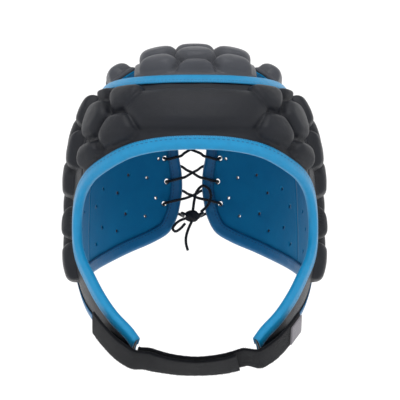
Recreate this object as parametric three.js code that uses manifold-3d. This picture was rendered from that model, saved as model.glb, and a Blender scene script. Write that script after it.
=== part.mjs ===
// A padded rugby scrum cap, worn size, in millimetres. +Z is up and the face looks along -Y.
// The origin is the inside of the crown, where the cap sits on the top of a head.
import * as THREE from "three";
import { mergeVertices } from "three/addons/utils/BufferGeometryUtils.js";
import Module from "manifold-3d";

const wasm = await Module();
wasm.setup();

// The head form: the hollow that the lining wraps
const HEAD_HALF_WIDTH = 83;
const HEAD_FRONT = 100;
const HEAD_BACK = 101;
const HEAD_UP = 102;
const ORIGIN_UP = 103;
const LEAN = THREE.MathUtils.degToRad(12);
const PLAN_POWER = 2.3;
const DOME_POWER = 2.5;
const BROW_POWER = 2.1;

// The layers of the wall
const LINING = 1.2;
const LAYER_GAP = 0.4;
const FOAM_WEB = 2.6;
const CELL_RISE = 8.2;
const CELL_SINK = 1.8;
const PAD_RISE = 5.5;
const SEAM_GAP = 0.9;

// The cells: columns stand at a share of a quarter turn round the head
const CELL_WIDE = 25.5;
const CELL_TALL = 29.5;
const CROWN_CELL_TALL = 24;
const FRONT_COLUMN = 0.38;
const FRONT_ROW = 29;
const CELLS_DOWN = -78;
const BACK_COLUMN = 1.681;
const BACK_ROW = 24;
const CROWN_ROW = 59;
const CROWN_FLANGE = 4;
const WING_SHIFT = 8;
const WING_ROW = 0;
const CELL_INSET = 1.5;
const SEAM_INSET = 1.2;
const CELL_SHOULDER = 0.8;
const SMALLEST_CELL = 0.2;
const PAD_STEPS = 18;

// The bound edges
const TOP_TAPE = 7.7;
const FACE_TAPE = 6.2;
const NECK_TAPE = 7.5;
const TAPE_THICK = 1.2;
const TAPE_GAP = 1;
const TAPE_CLEAR = 1.6;
const TAPE_STEP = 19;

// The crown panel, its wings and the vents in front of them
const CROWN_HALF_WIDTH = 42;
const WING_FRONT = 17;
const WING_SEAM = 0.9;
const WING_POINT = 4;

// Where the side and back panels meet, a share of a quarter turn, and the corner of the laced edge
const BACK_SEAM = 1.298;
const NAPE_CORNER = 0.02;

// The chin strap and its tab; the laps and reaches are shares of the head's half width
const STRAP_WIDE = 24;
const STRAP_THICK = 2;
const STRAP_GAP = 0.9;
const STRAP_STEP = 10;
const LAP_FULL = 0.392;
const LAP_START = 0.518;
const FLAP_LIFT = 3.2;
const OUTER_REACH = 0.337;
const INNER_REACH = 0.482;
const TAB_WIDE = 19;
const TAB_THICK = 1.2;
const TAB_GAP = 0.4;

// The lace
const LACE_DIAMETER = 2.2;
const EYELET_PITCH = 17;
const EYELET_INSET = 10.8;
const EYELET_HOLE = 4.8;
const EYELET_SIDES = 6;
const EYELET_TOP = 0.696;
const EYELET_ROWS = 4;
const LACE_SIDES = 6;
const LACE_STEP = 6.1;
const KNOT_WIDE = 11;
const KNOT_HIGH = 7.5;
const KNOT_DEEP = 6;
const KNOT_BELOW = 9.4;
const KNOT_IN = 7.5;
const KNOT_GAP = 0.4;
const KNOT_SIDES = 8;
const LACE_CLEAR = 1.4;
const CROSS_OUT = 4.6;
const CROSS_IN = 1;
const CROSS_DOWN = 0.6;

const GIRTH_RADIUS = (HEAD_HALF_WIDTH + (HEAD_FRONT + HEAD_BACK) / 2) / 2;
const QUARTER = (GIRTH_RADIUS * Math.PI) / 2;
const WEB_IN = LINING + LAYER_GAP;
const WEB_OUT = WEB_IN + FOAM_WEB;
const CELL_TOP = WEB_OUT + CELL_RISE;

// How far the walls draw in below the widest line, as shares of the head's own sizes
const DRAW_IN = [
  { down: 0.0, side: 1.0, front: 1.0, back: 1.0 },
  { down: 0.25, side: 1.0, front: 0.99, back: 0.985 },
  { down: 0.44, side: 0.985, front: 0.95, back: 0.95 },
  { down: 0.59, side: 0.94, front: 0.9, back: 0.91 },
  { down: 0.74, side: 0.88, front: 0.85, back: 0.87 },
  { down: 0.88, side: 0.8, front: 0.79, back: 0.83 },
  { down: 1.03, side: 0.7, front: 0.72, back: 0.8 },
  { down: 1.23, side: 0.55, front: 0.62, back: 0.76 },
];

// The rim of the face opening from the middle of the brow down to the chin end of the cheek flap:
// around is a share of a quarter turn, up a share of the head's height
const FACE_RIM = [
  { around: 0.0, up: 0.165 },
  { around: 0.16, up: 0.158 },
  { around: 0.31, up: 0.132 },
  { around: 0.45, up: 0.078 },
  { around: 0.58, up: 0.026 },
  { around: 0.7, up: -0.06 },
  { around: 0.772, up: -0.18 },
  { around: 0.775, up: -0.31 },
  { around: 0.722, up: -0.45 },
  { around: 0.655, up: -0.58 },
  { around: 0.6, up: -0.71 },
  { around: 0.53, up: -0.86 },
  { around: 0.45, up: -0.97 },
  { around: 0.418, up: -1.04 },
];

// The rim from the chin end along the jaw and the neck, then up the laced edge
const NECK_RIM = [
  { around: 0.53, up: -1.13 },
  { around: 0.62, up: -1.05 },
  { around: 0.75, up: -0.93 },
  { around: 0.88, up: -0.8 },
  { around: 1.01, up: -0.66 },
  { around: 1.16, up: -0.52 },
  { around: 1.33, up: -0.415 },
  { around: 1.5, up: -0.3 },
  { around: 1.66, up: -0.18 },
  { around: 1.79, up: -0.085 },
  { around: 1.865, up: -0.01 },
  { around: 1.903, up: 0.09 },
  { around: 1.922, up: 0.2 },
  { around: 1.932, up: 0.32 },
  { around: 1.925, up: 0.44 },
  { around: 1.905, up: 0.56 },
  { around: 1.895, up: 0.68 },
  { around: 1.893, up: 0.78 },
];

// The upper edge of the front and side panels, which carries the top tape, and of the back panels
const TOP_RIM = [
  { around: 0.0, up: 0.73 },
  { around: 0.3, up: 0.735 },
  { around: 0.6, up: 0.765 },
  { around: 0.78, up: 0.785 },
  { around: 0.95, up: 0.79 },
  { around: 1.15, up: 0.775 },
  { around: 1.3, up: 0.765 },
  { around: 1.65, up: 0.765 },
  { around: 2.0, up: 0.765 },
];

// The wide pad on the brow, one half of its outline
const BROW_PAD = [
  { around: 0.0, up: 0.598 },
  { around: 0.335, up: 0.585 },
  { around: 0.373, up: 0.455 },
  { around: 0.28, up: 0.285 },
  { around: 0.0, up: 0.262 },
];

// The rings of the brow pad: shares of its outline and of its rise
const PAD_RINGS = [
  { share: 0.93, rise: 0.72 },
  { share: 0.72, rise: 0.98 },
  { share: 0.4, rise: 1 },
];

// The chin strap's middle line from the outside of a cheek flap to below the chin, one half:
// side, front and up are shares of the head's half width, front and height,
// and lean is how far the front edge of the strap stands above its rear edge, in degrees
const STRAP_ROUTE = [
  { side: 0.813, front: 0.61, up: -1.799, lean: 45 },
  { side: 0.725, front: 0.683, up: -1.882, lean: 44 },
  { side: 0.608, front: 0.75, up: -1.969, lean: 42 },
  { side: 0.458, front: 0.785, up: -2.035, lean: 38 },
  { side: 0.241, front: 0.785, up: -2.084, lean: 31 },
  { side: 0, front: 0.78, up: -2.103, lean: 28 },
];

// A strand of the lace from one row of eyelets to the next: outside the wall it leaves an eyelet for the
// gap, and inside the wall it comes from the gap to the next row. into is a share of EYELET_INSET from
// the laced edge into the panel, down a share of EYELET_PITCH, out a share of the lace's diameter
const STRAND_OUTSIDE = [
  { into: 0.815, down: 0.07, out: 0 },
  { into: 0.23, down: 0.27, out: 0.18 },
  { into: -0.34, down: 0.4, out: 0.18 },
  { into: -0.6, down: 0.506, out: -1.18 },
];
const STRAND_INSIDE = [
  { into: -0.6, down: 0.718, out: 1.36 },
  { into: -0.32, down: 0.788, out: -0.18 },
  { into: 0.23, down: 0.87, out: -0.18 },
  { into: 0.778, down: 0.965, out: 0 },
];

// The bow of the lace inside the nape: x and z from the middle of the knot,
// and in is how far it hangs inside the wall
const BOW_LARGE = [
  { x: 0.4, z: 4.6, in: 8.6 },
  { x: 1.6, z: 12.8, in: 8 },
  { x: 3.4, z: 19.2, in: 7.6 },
  { x: 8.3, z: 23.8, in: 7.6 },
  { x: 13.4, z: 20.6, in: 7.8 },
  { x: 14.4, z: 14.2, in: 8 },
  { x: 11.8, z: 8.2, in: 8.2 },
  { x: 6.6, z: 3.2, in: 8.2 },
];
const BOW_SMALL = [
  { x: -5.2, z: -1.8, in: 7.4 },
  { x: -9.6, z: -3.4, in: 6.8 },
  { x: -13.4, z: -6.4, in: 6.4 },
  { x: -15.4, z: -9.8, in: 6.4 },
  { x: -13.4, z: -12, in: 6.6 },
  { x: -9.4, z: -9.8, in: 7.2 },
  { x: -5.6, z: -5.6, in: 7.8 },
];
const LACE_END = [
  { x: -0.6, z: -4.3, in: 8 },
  { x: -3.4, z: -10.6, in: 8 },
  { x: -5, z: -16.2, in: 8 },
  { x: -5, z: -21.6, in: 8 },
  { x: -3.6, z: -26.6, in: 8 },
];

// How finely the curved sheets are faceted
const FRONT_GRID = { rows: 4, across: 10 };
const SIDE_GRID = { rows: 11, across: 5 };
const BACK_GRID = { rows: 6, across: 5 };
const CROWN_GRID = { rows: 8, across: 4 };
const WING_GRID = { rows: 5, across: 2 };
const MERGE_WITHIN = 1e-4;

const MATERIALS = {
  shell: { color: 0x2b2e38, roughness: 0.8, metalness: 0 },
  tape: { color: 0x1fb4ea, roughness: 0.55, metalness: 0 },
  lining: { color: 0x00608a, roughness: 0.85, metalness: 0 },
  strap: { color: 0x1b1e26, roughness: 0.9, metalness: 0 },
  tab: { color: 0x777277, roughness: 0.8, metalness: 0 },
  lace: { color: 0x12151c, roughness: 0.8, metalness: 0 },
};

// A value of a short table between its rows, along a smooth line
function between(table, key, value, at) {
  const last = table.length - 1;
  let i = 0;
  while (i < last - 1 && at > table[i + 1][key]) i += 1;
  const slope = (j) => {
    const a = table[Math.max(j - 1, 0)];
    const b = table[Math.min(j + 1, last)];
    return (b[value] - a[value]) / (b[key] - a[key]);
  };
  const wide = table[i + 1][key] - table[i][key];
  const t = THREE.MathUtils.clamp((at - table[i][key]) / wide, 0, 1);
  const t2 = t * t;
  const t3 = t2 * t;
  return (
    table[i][value] * (2 * t3 - 3 * t2 + 1) +
    slope(i) * wide * (t3 - 2 * t2 + t) +
    table[i + 1][value] * (3 * t2 - 2 * t3) +
    slope(i + 1) * wide * (t3 - t2)
  );
}

function leaned(x, y, z) {
  const c = Math.cos(LEAN);
  const s = Math.sin(LEAN);
  return new THREE.Vector3(x, y * c + z * s, z * c - y * s - ORIGIN_UP);
}

const power = (value, exponent) => Math.abs(value) ** exponent;

// The dome is boxy at the sides and the back, and rounder towards the brow
const domePower = (ahead) => DOME_POWER - (DOME_POWER - BROW_POWER) * Math.max(ahead, 0) ** 2;

// The head form unrolled round the head: u runs round it from the brow, v up from its widest line
function wrapForm(u, v) {
  const turn = u / GIRTH_RADIUS;
  const mean = (HEAD_FRONT + HEAD_BACK) / 2;
  const even = (mean - HEAD_HALF_WIDTH) / (2 * (mean + HEAD_HALF_WIDTH));
  const angle = turn - even * Math.sin(2 * turn);
  const depth = Math.cos(angle) > 0 ? HEAD_FRONT : HEAD_BACK;
  const radius =
    (power(Math.sin(angle) / HEAD_HALF_WIDTH, PLAN_POWER) + power(Math.cos(angle) / depth, PLAN_POWER)) **
    (-1 / PLAN_POWER);
  if (v > 0) {
    const rise = v / HEAD_UP;
    const dome = domePower(Math.cos(angle));
    const q = (power(Math.cos(rise), dome) + power(Math.sin(rise), dome)) ** (-1 / dome);
    const flat = radius * q * Math.cos(rise);
    return leaned(flat * Math.sin(angle), -flat * Math.cos(angle), HEAD_UP * q * Math.sin(rise));
  }
  const down = -v / HEAD_UP;
  const along = Math.cos(angle) > 0 ? "front" : "back";
  const x = radius * Math.sin(angle) * between(DRAW_IN, "down", "side", down);
  const y = -radius * Math.cos(angle) * between(DRAW_IN, "down", along, down);
  return leaned(x, y, v);
}

// The same form unrolled over the top: u runs across it and v forward from the middle of the crown
function crownForm(u, v) {
  const across = u / HEAD_UP;
  const ahead = v / HEAD_UP;
  const way = new THREE.Vector3(
    Math.sin(across),
    -Math.cos(across) * Math.sin(ahead),
    Math.cos(across) * Math.cos(ahead),
  );
  const c = Math.cos(LEAN);
  const s = Math.sin(LEAN);
  const y = way.y * c - way.z * s;
  const z = way.y * s + way.z * c;
  const depth = y < 0 ? HEAD_FRONT : HEAD_BACK;
  const plan = power(way.x / HEAD_HALF_WIDTH, PLAN_POWER) + power(y / depth, PLAN_POWER);
  const dome = domePower(-y / Math.max(Math.hypot(way.x, y), 1e-6));
  const reach = (plan ** (dome / PLAN_POWER) + power(z / HEAD_UP, dome)) ** (-1 / dome);
  return way.multiplyScalar(reach).add(new THREE.Vector3(0, 0, -ORIGIN_UP));
}

function onCrown(point) {
  const way = point.clone().add(new THREE.Vector3(0, 0, ORIGIN_UP)).normalize();
  return { u: Math.asin(way.x) * HEAD_UP, v: Math.atan2(-way.y, way.z) * HEAD_UP };
}

// A point that stands out from a form by a height
function raised(form, u, v, height) {
  const step = 0.5;
  const here = form(u, v);
  const across = form(u + step, v).sub(form(u - step, v));
  const along = form(u, v + step).sub(form(u, v - step));
  const out = across.cross(along).normalize();
  if (out.dot(here.clone().add(new THREE.Vector3(0, 0, ORIGIN_UP))) < 0) out.negate();
  return here.addScaledVector(out, height);
}

// A rim table's rows as points {u, v}
function unrolled(rows, side = 1) {
  return rows.map((row) => ({ u: side * row.around * QUARTER, v: row.up * HEAD_UP }));
}

const smoothCurve = (points) => new THREE.CatmullRomCurve3(points, false, "centripetal");

function smoothLine(points, steps) {
  const curve = smoothCurve(points.map((p) => new THREE.Vector3(p.u, p.v, 0)));
  return curve.getSpacedPoints(steps).map((p) => ({ u: p.x, v: p.y }));
}

function solidFrom(positions, triangles) {
  const places = new THREE.Float32BufferAttribute(positions.flatMap((p) => [p.x, p.y, p.z]), 3);
  const geometry = new THREE.BufferGeometry().setAttribute("position", places);
  geometry.setIndex(triangles.flat());
  const merged = mergeVertices(geometry, MERGE_WITHIN);
  const triVerts = new Uint32Array(merged.index.array);
  const vertProperties = merged.attributes.position.array;
  const make = () => new wasm.Manifold(new wasm.Mesh({ numProp: 3, vertProperties, triVerts }));
  const first = make();
  if (first.volume() > 0) return first;
  for (let i = 0; i < triVerts.length; i += 3) {
    [triVerts[i + 1], triVerts[i + 2]] = [triVerts[i + 2], triVerts[i + 1]];
  }
  return make();
}

// A curved sheet over a grid of points: rows of equally many {u, v}
function sheet(form, grid, low, high) {
  const rows = grid.length;
  const wide = grid[0].length;
  const positions = [];
  for (const height of [low, high]) {
    for (const row of grid) {
      for (const p of row) positions.push(raised(form, p.u, p.v, height));
    }
  }
  const at = (layer, i, j) => (layer * rows + i) * wide + j;
  const triangles = [];
  const quad = (a, b, c, d) => triangles.push([a, b, c], [a, c, d]);
  for (let i = 0; i < rows - 1; i += 1) {
    for (let j = 0; j < wide - 1; j += 1) {
      quad(at(0, i, j), at(0, i + 1, j), at(0, i + 1, j + 1), at(0, i, j + 1));
      quad(at(1, i, j), at(1, i, j + 1), at(1, i + 1, j + 1), at(1, i + 1, j));
    }
    quad(at(0, i, 0), at(1, i, 0), at(1, i + 1, 0), at(0, i + 1, 0));
    quad(at(0, i, wide - 1), at(0, i + 1, wide - 1), at(1, i + 1, wide - 1), at(1, i, wide - 1));
  }
  for (let j = 0; j < wide - 1; j += 1) {
    quad(at(0, 0, j), at(0, 0, j + 1), at(1, 0, j + 1), at(1, 0, j));
    quad(at(0, rows - 1, j), at(1, rows - 1, j), at(1, rows - 1, j + 1), at(0, rows - 1, j + 1));
  }
  return solidFrom(positions, triangles);
}

const mixed = (a, b, t) => ({ u: a.u + (b.u - a.u) * t, v: a.v + (b.v - a.v) * t });

// A point at a share of a line's length
function alongLine(line) {
  const far = [0];
  for (let i = 1; i < line.length; i += 1) {
    far.push(far[i - 1] + Math.hypot(line[i].u - line[i - 1].u, line[i].v - line[i - 1].v));
  }
  return (share) => {
    const want = share * far[far.length - 1];
    let i = 0;
    while (i < line.length - 2 && want > far[i + 1]) i += 1;
    const t = (want - far[i]) / (far[i + 1] - far[i]);
    return mixed(line[i], line[i + 1], t);
  };
}

// The grid between four edges that meet at their corners: low and high run as left and right are apart
function gridBetween({ low, high, left, right }, { rows, across }) {
  const [lowAt, highAt, leftAt, rightAt] = [low, high, left, right].map(alongLine);
  const blend = (s, t, key) => {
    const lowCorners = (1 - t) * lowAt(0)[key] + t * lowAt(1)[key];
    const highCorners = (1 - t) * highAt(0)[key] + t * highAt(1)[key];
    const upright = (1 - s) * (lowAt(t)[key] - lowCorners) + s * (highAt(t)[key] - highCorners);
    return upright + (1 - t) * leftAt(s)[key] + t * rightAt(s)[key];
  };
  const grid = [];
  for (let i = 0; i <= rows; i += 1) {
    const row = [];
    for (let j = 0; j <= across; j += 1) {
      row.push({ u: blend(i / rows, j / across, "u"), v: blend(i / rows, j / across, "v") });
    }
    grid.push(row);
  }
  return grid;
}

// The closed border of four edges, each stretch with how far the cells keep from it
function borderOf({ low, high, left, right }, keep) {
  const steps = 14;
  const part = (line, distance, back) => {
    const at = alongLine(line);
    const points = [];
    for (let i = 0; i < steps; i += 1) points.push({ ...at(back ? 1 - i / steps : i / steps), keep: distance });
    return points;
  };
  return [
    ...part(low, keep.low, false),
    ...part(right, keep.right, false),
    ...part(high, keep.high, true),
    ...part(left, keep.left, true),
  ];
}

// A raised cell over a convex outline: rings of the outline drawn in towards its middle
function pillow(form, outline, rings, bottom) {
  const middle = middleOf(outline);
  const positions = [];
  const levels = [...bottom, ...rings];
  for (const ring of levels) {
    for (const corner of outline) {
      const p = mixed(middle, corner, ring.share);
      positions.push(raised(form, p.u, p.v, ring.height));
    }
  }
  const count = outline.length;
  const low = positions.push(raised(form, middle.u, middle.v, bottom[0].height)) - 1;
  const top = positions.push(raised(form, middle.u, middle.v, rings[rings.length - 1].crest)) - 1;
  const triangles = [];
  for (let i = 0; i < count; i += 1) {
    const next = (i + 1) % count;
    triangles.push([low, next, i]);
    for (let k = 0; k < levels.length - 1; k += 1) {
      const a = k * count;
      triangles.push([a + i, a + next, a + count + next], [a + i, a + count + next, a + count + i]);
    }
    const last = (levels.length - 1) * count;
    triangles.push([last + i, last + next, top]);
  }
  return solidFrom(positions, triangles);
}

const CELL_RINGS = [{ share: CELL_SHOULDER, height: WEB_OUT + CELL_SHOULDER * CELL_RISE, crest: CELL_TOP }];
const PLAIN_BASE = [{ share: 1, height: WEB_OUT - CELL_SINK }];

// The part of a convex outline on the inner side of a line through a point
function halfOf(outline, point, inward) {
  const side = (p) => (p.u - point.u) * inward.u + (p.v - point.v) * inward.v;
  const kept = [];
  outline.forEach((a, i) => {
    const b = outline[(i + 1) % outline.length];
    const sa = side(a);
    const sb = side(b);
    if (sa >= 0) kept.push(a);
    if (sa * sb < 0) {
      kept.push(mixed(a, b, sa / (sa - sb)));
    }
  });
  return kept;
}

function areaOf(outline) {
  let sum = 0;
  outline.forEach((a, i) => {
    const b = outline[(i + 1) % outline.length];
    sum += a.u * b.v - b.u * a.v;
  });
  return Math.abs(sum) / 2;
}

function isInside(edge, p) {
  let inside = false;
  edge.forEach((a, i) => {
    const b = edge[(i + 1) % edge.length];
    const across = a.v > p.v !== b.v > p.v;
    if (across && p.u < ((b.u - a.u) * (p.v - a.v)) / (b.v - a.v) + a.u) inside = !inside;
  });
  return inside;
}

function middleOf(points) {
  const sum = points.reduce((all, p) => ({ u: all.u + p.u, v: all.v + p.v }), { u: 0, v: 0 });
  return { u: sum.u / points.length, v: sum.v / points.length };
}

// A cell's outline cut back to its distance from each stretch of the panel's edge.
// border is a closed list of {u, v, keep}: keep is how far cells stay from the stretch that starts there
function trimmed(cell, centre, border) {
  const area = areaOf(cell);
  let anchor = centre;
  if (!isInside(border, centre)) {
    const inner = cell.filter((p) => isInside(border, p));
    if (!inner.length) return null;
    anchor = middleOf(inner);
  }
  let kept = cell;
  border.forEach((a, i) => {
    const b = border[(i + 1) % border.length];
    const long = Math.hypot(b.u - a.u, b.v - a.v);
    if (long < MERGE_WITHIN || kept.length < 3) return;
    const along = (anchor.u - a.u) * (b.u - a.u) + (anchor.v - a.v) * (b.v - a.v);
    const near = mixed(a, b, THREE.MathUtils.clamp(along / long ** 2, 0, 1));
    if (Math.hypot(near.u - centre.u, near.v - centre.v) > CELL_TALL) return;
    let inward = { u: -(b.v - a.v) / long, v: (b.u - a.u) / long };
    const beside = long / 100;
    const halfway = mixed(a, b, 0.5);
    const probe = { u: halfway.u + inward.u * beside, v: halfway.v + inward.v * beside };
    if (!isInside(border, probe)) inward = { u: -inward.u, v: -inward.v };
    const line = { u: near.u + inward.u * a.keep, v: near.v + inward.v * a.keep };
    kept = halfOf(kept, line, inward);
  });
  if (kept.length < 3 || areaOf(kept) < SMALLEST_CELL * area) return null;
  return tidyOutline(kept);
}

// An outline without corners that lie close together
function tidyOutline(outline) {
  const apart = 2.2;
  const kept = [];
  for (const p of outline) {
    const last = kept[kept.length - 1];
    if (!last || Math.hypot(p.u - last.u, p.v - last.v) > apart) kept.push(p);
  }
  const first = kept[0];
  const last = kept[kept.length - 1];
  if (kept.length > 3 && Math.hypot(first.u - last.u, first.v - last.v) < apart) kept.pop();
  return kept.length < 3 ? null : kept;
}

// Every cell of a staggered honeycomb that fits in a panel
function cellsIn(border, lattice) {
  const cells = [];
  const us = border.map((p) => p.u);
  const vs = border.map((p) => p.v);
  const slant = Math.atan2(CELL_WIDE / 3, lattice.tall / 2);
  const wide = (CELL_WIDE * 2) / 3 - CELL_INSET / Math.cos(slant);
  const high = lattice.tall / 2 - CELL_INSET;
  const flat = wide - high * Math.tan(slant);
  const firstColumn = Math.floor((Math.min(...us) - lattice.u) / CELL_WIDE) - 1;
  const lastColumn = Math.ceil((Math.max(...us) - lattice.u) / CELL_WIDE) + 1;
  for (let column = firstColumn; column <= lastColumn; column += 1) {
    const stagger = Math.abs(column) % 2 ? lattice.tall / 2 : 0;
    const firstRow = Math.floor((Math.min(...vs) - lattice.v) / lattice.tall) - 1;
    const lastRow = Math.ceil((Math.max(...vs) - lattice.v) / lattice.tall) + 1;
    for (let row = firstRow; row <= lastRow; row += 1) {
      const centre = { u: lattice.u + column * CELL_WIDE, v: lattice.v + row * lattice.tall + stagger };
      if (lattice.skip && lattice.skip(centre)) continue;
      const cell = [
        [wide, 0],
        [flat, high],
        [-flat, high],
        [-wide, 0],
        [-flat, -high],
        [flat, -high],
      ].map(([u, v]) => ({ u: centre.u + u, v: centre.v + v }));
      const kept = trimmed(cell, centre, border);
      if (kept) cells.push(kept);
    }
  }
  return cells;
}

// A panel of the outer shell: a foam web with the cells that stand on it
function paddedPanel(form, grid, cells) {
  let panel = sheet(form, grid, WEB_IN, WEB_OUT);
  for (const cell of cells) panel = panel.add(pillow(form, cell, CELL_RINGS, PLAIN_BASE));
  return panel;
}

// A tape folded over an edge: the section's w runs from the edge into the panel
function foldedTape(form, line, inner, wide) {
  const low = -TAPE_GAP - TAPE_THICK;
  const high = WEB_OUT + TAPE_GAP;
  const section = [
    [-TAPE_THICK - TAPE_GAP, low],
    [wide, low],
    [wide, low + TAPE_THICK],
    [-TAPE_GAP, low + TAPE_THICK],
    [-TAPE_GAP, high],
    [wide, high],
    [wide, high + TAPE_THICK],
    [-TAPE_THICK - TAPE_GAP, high + TAPE_THICK],
  ];
  const positions = [];
  line.forEach((p, i) => {
    const a = line[Math.max(i - 1, 0)];
    const b = line[Math.min(i + 1, line.length - 1)];
    const long = Math.hypot(b.u - a.u, b.v - a.v);
    const way = { u: (-(b.v - a.v) / long) * inner, v: ((b.u - a.u) / long) * inner };
    for (const [w, h] of section) positions.push(raised(form, p.u + way.u * w, p.v + way.v * w, h));
  });
  return swept(positions, section.length, line.length, FOLD_CAP);
}

// The flat end of a folded tape, as triangles of its section's eight corners
const FOLD_CAP = [
  [0, 1, 2],
  [0, 2, 3],
  [0, 3, 7],
  [3, 4, 7],
  [4, 5, 6],
  [4, 6, 7],
];
const BAND_CAP = [
  [0, 1, 2],
  [0, 2, 3],
];

// A section of equally many corners at each step, closed by a cap at both ends
function swept(positions, sides, steps, cap) {
  const triangles = [];
  for (let i = 0; i < steps - 1; i += 1) {
    for (let j = 0; j < sides; j += 1) {
      const a = i * sides + j;
      const b = i * sides + ((j + 1) % sides);
      triangles.push([a, b, b + sides], [a, b + sides, a + sides]);
    }
  }
  const end = (steps - 1) * sides;
  for (const [a, b, c] of cap) {
    triangles.push([a, c, b]);
    triangles.push([end + a, end + b, end + c]);
  }
  return solidFrom(positions, triangles);
}

const RIM_STEPS = 200;
const faceRim = smoothLine(unrolled(FACE_RIM), RIM_STEPS);
const neckRim = smoothLine(unrolled(NECK_RIM), RIM_STEPS);
const topAt = (u) => between(TOP_RIM, "around", "up", Math.abs(u) / QUARTER) * HEAD_UP;
const mirrored = (points) => points.map((p) => ({ ...p, u: -p.u }));

function topLine(from, to, lift) {
  const points = [];
  const steps = 24;
  for (let i = 0; i <= steps; i += 1) {
    const u = THREE.MathUtils.lerp(from, to, i / steps);
    points.push({ u, v: topAt(u) + lift });
  }
  return points;
}

// The point where a line first crosses a value, and the stretches of the line before and after it
function split(line, key, value) {
  for (let i = 0; i < line.length - 1; i += 1) {
    const a = line[i];
    const b = line[i + 1];
    if (a[key] !== b[key] && (a[key] - value) * (b[key] - value) <= 0) {
      const at = mixed(a, b, (value - a[key]) / (b[key] - a[key]));
      return { before: [...line.slice(0, i + 1), at], after: [at, ...line.slice(i + 1)] };
    }
  }
  throw new Error("a rim doesn't reach the seam at " + key + " " + value);
}

const backwards = (line) => [...line].reverse();
const frontColumn = FRONT_COLUMN * QUARTER;
const frontSeam = frontColumn + 1.5 * CELL_WIDE;
const backSeam = BACK_SEAM * QUARTER;
const seamHalf = SEAM_GAP / 2;
const aboveTape = TAPE_THICK + TAPE_GAP + SEAM_GAP;

// The rims split where the panels meet
const browRim = split(faceRim, "u", frontSeam - seamHalf).before;
const cheekRim = split(faceRim, "u", frontSeam + seamHalf).after;
const jawRim = split(neckRim, "u", backSeam - seamHalf).before;
const napeAndLaced = split(neckRim, "u", backSeam + seamHalf).after;
const napeRim = split(napeAndLaced, "v", NAPE_CORNER * HEAD_UP).before;
const lacedRim = split(napeAndLaced, "v", NAPE_CORNER * HEAD_UP).after;

const browLine = [...backwards(mirrored(browRim)), ...browRim.slice(1)];
const browTop = topLine(-(frontSeam - seamHalf), frontSeam - seamHalf, 0);
const frontEdges = {
  low: browLine,
  high: browTop,
  left: [browLine[0], browTop[0]],
  right: [browLine[browLine.length - 1], browTop[browTop.length - 1]],
};

const sideTop = topLine(frontSeam + seamHalf, backSeam - seamHalf, 0);
const sideEdges = {
  low: [faceRim[faceRim.length - 1], neckRim[0]],
  high: sideTop,
  left: [...backwards(cheekRim), sideTop[0]],
  right: [...jawRim, sideTop[sideTop.length - 1]],
};

const lacedTop = lacedRim[lacedRim.length - 1].u;
const backTop = topLine(backSeam + seamHalf, lacedTop, aboveTape - SEAM_GAP);
const backEdges = {
  low: napeRim,
  high: backTop,
  left: [napeRim[0], backTop[0]],
  right: [...lacedRim.slice(0, -1), backTop[backTop.length - 1]],
};

// The crown panel and the wings end just above the top rim, seen over the top of the form
const rimOnCrown = topLine(0, 2 * QUARTER, aboveTape).map((p) => onCrown(wrapForm(p.u, p.v)));
const wingSide = CROWN_HALF_WIDTH + WING_SEAM;
const frontRim = split(rimOnCrown, "u", CROWN_HALF_WIDTH).before;
const rearRim = split(backwards(rimOnCrown), "u", CROWN_HALF_WIDTH).before;
const wholeLine = (half) => [...backwards(mirrored(half)), ...half.slice(1)];
const ends = (low, high) => ({
  low,
  high,
  left: [low[0], high[0]],
  right: [low[low.length - 1], high[high.length - 1]],
});
const crownEdges = ends(wholeLine(rearRim), wholeLine(frontRim));

const behindVent = split(rimOnCrown, "v", WING_FRONT).after;
const wingRim = backwards(split(behindVent, "u", wingSide + WING_POINT).before);
const wingEdges = {
  low: [{ u: wingSide, v: wingRim[0].v }, wingRim[0]],
  high: [{ u: wingSide, v: WING_FRONT }, wingRim[wingRim.length - 1]],
  left: [{ u: wingSide, v: wingRim[0].v }, { u: wingSide, v: WING_FRONT }],
  right: wingRim,
};

const nodes = new THREE.Group();

function addNode(name, solid, material) {
  const mesh = solid.getMesh();
  const geometry = new THREE.BufferGeometry();
  geometry.setAttribute("position", new THREE.BufferAttribute(mesh.vertProperties, 3));
  geometry.setIndex(new THREE.BufferAttribute(mesh.triVerts, 1));
  geometry.computeVertexNormals();
  const node = new THREE.Mesh(geometry, new THREE.MeshStandardMaterial(MATERIALS[material]));
  node.name = name;
  nodes.add(node);
  return node;
}

// Both sides of the cap are alike, so a left piece is its right one turned over the middle plane
function mirroredSolid(solid) {
  const mesh = solid.getMesh();
  const positions = [];
  for (let i = 0; i < mesh.vertProperties.length; i += mesh.numProp) {
    const [x, y, z] = mesh.vertProperties.slice(i, i + 3);
    positions.push(new THREE.Vector3(-x, y, z));
  }
  return solidFrom(positions, [...mesh.triVerts]);
}

function addPair(name, right, material) {
  addNode(name + "_right", right, material);
  addNode(name + "_left", mirroredSolid(right), material);
}

// How far the cells keep from a panel's edges
const seamKeep = SEAM_INSET;
const topKeep = TOP_TAPE + TAPE_CLEAR;
const faceKeep = FACE_TAPE + TAPE_CLEAR;
const neckKeep = NECK_TAPE + TAPE_CLEAR;

// The wide pad on the brow, with its foot a little inside the web
function browPad() {
  const half = unrolled(BROW_PAD);
  const points = [...half, ...backwards(mirrored(half)).slice(1, -1)];
  const at = alongLine([...points, points[0]]);
  const outline = [];
  for (let i = 0; i < PAD_STEPS; i += 1) outline.push(at(i / PAD_STEPS));
  const crest = WEB_OUT + PAD_RISE;
  const rings = PAD_RINGS.map((ring) => ({ share: ring.share, height: WEB_OUT + ring.rise * PAD_RISE, crest }));
  const foot = (ring) => ({ share: ring.share, height: WEB_OUT - CELL_SINK });
  const base = [...backwards(PAD_RINGS).slice(0, 2), { share: 1 }].map(foot);
  return pillow(wrapForm, outline, rings, base);
}

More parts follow.
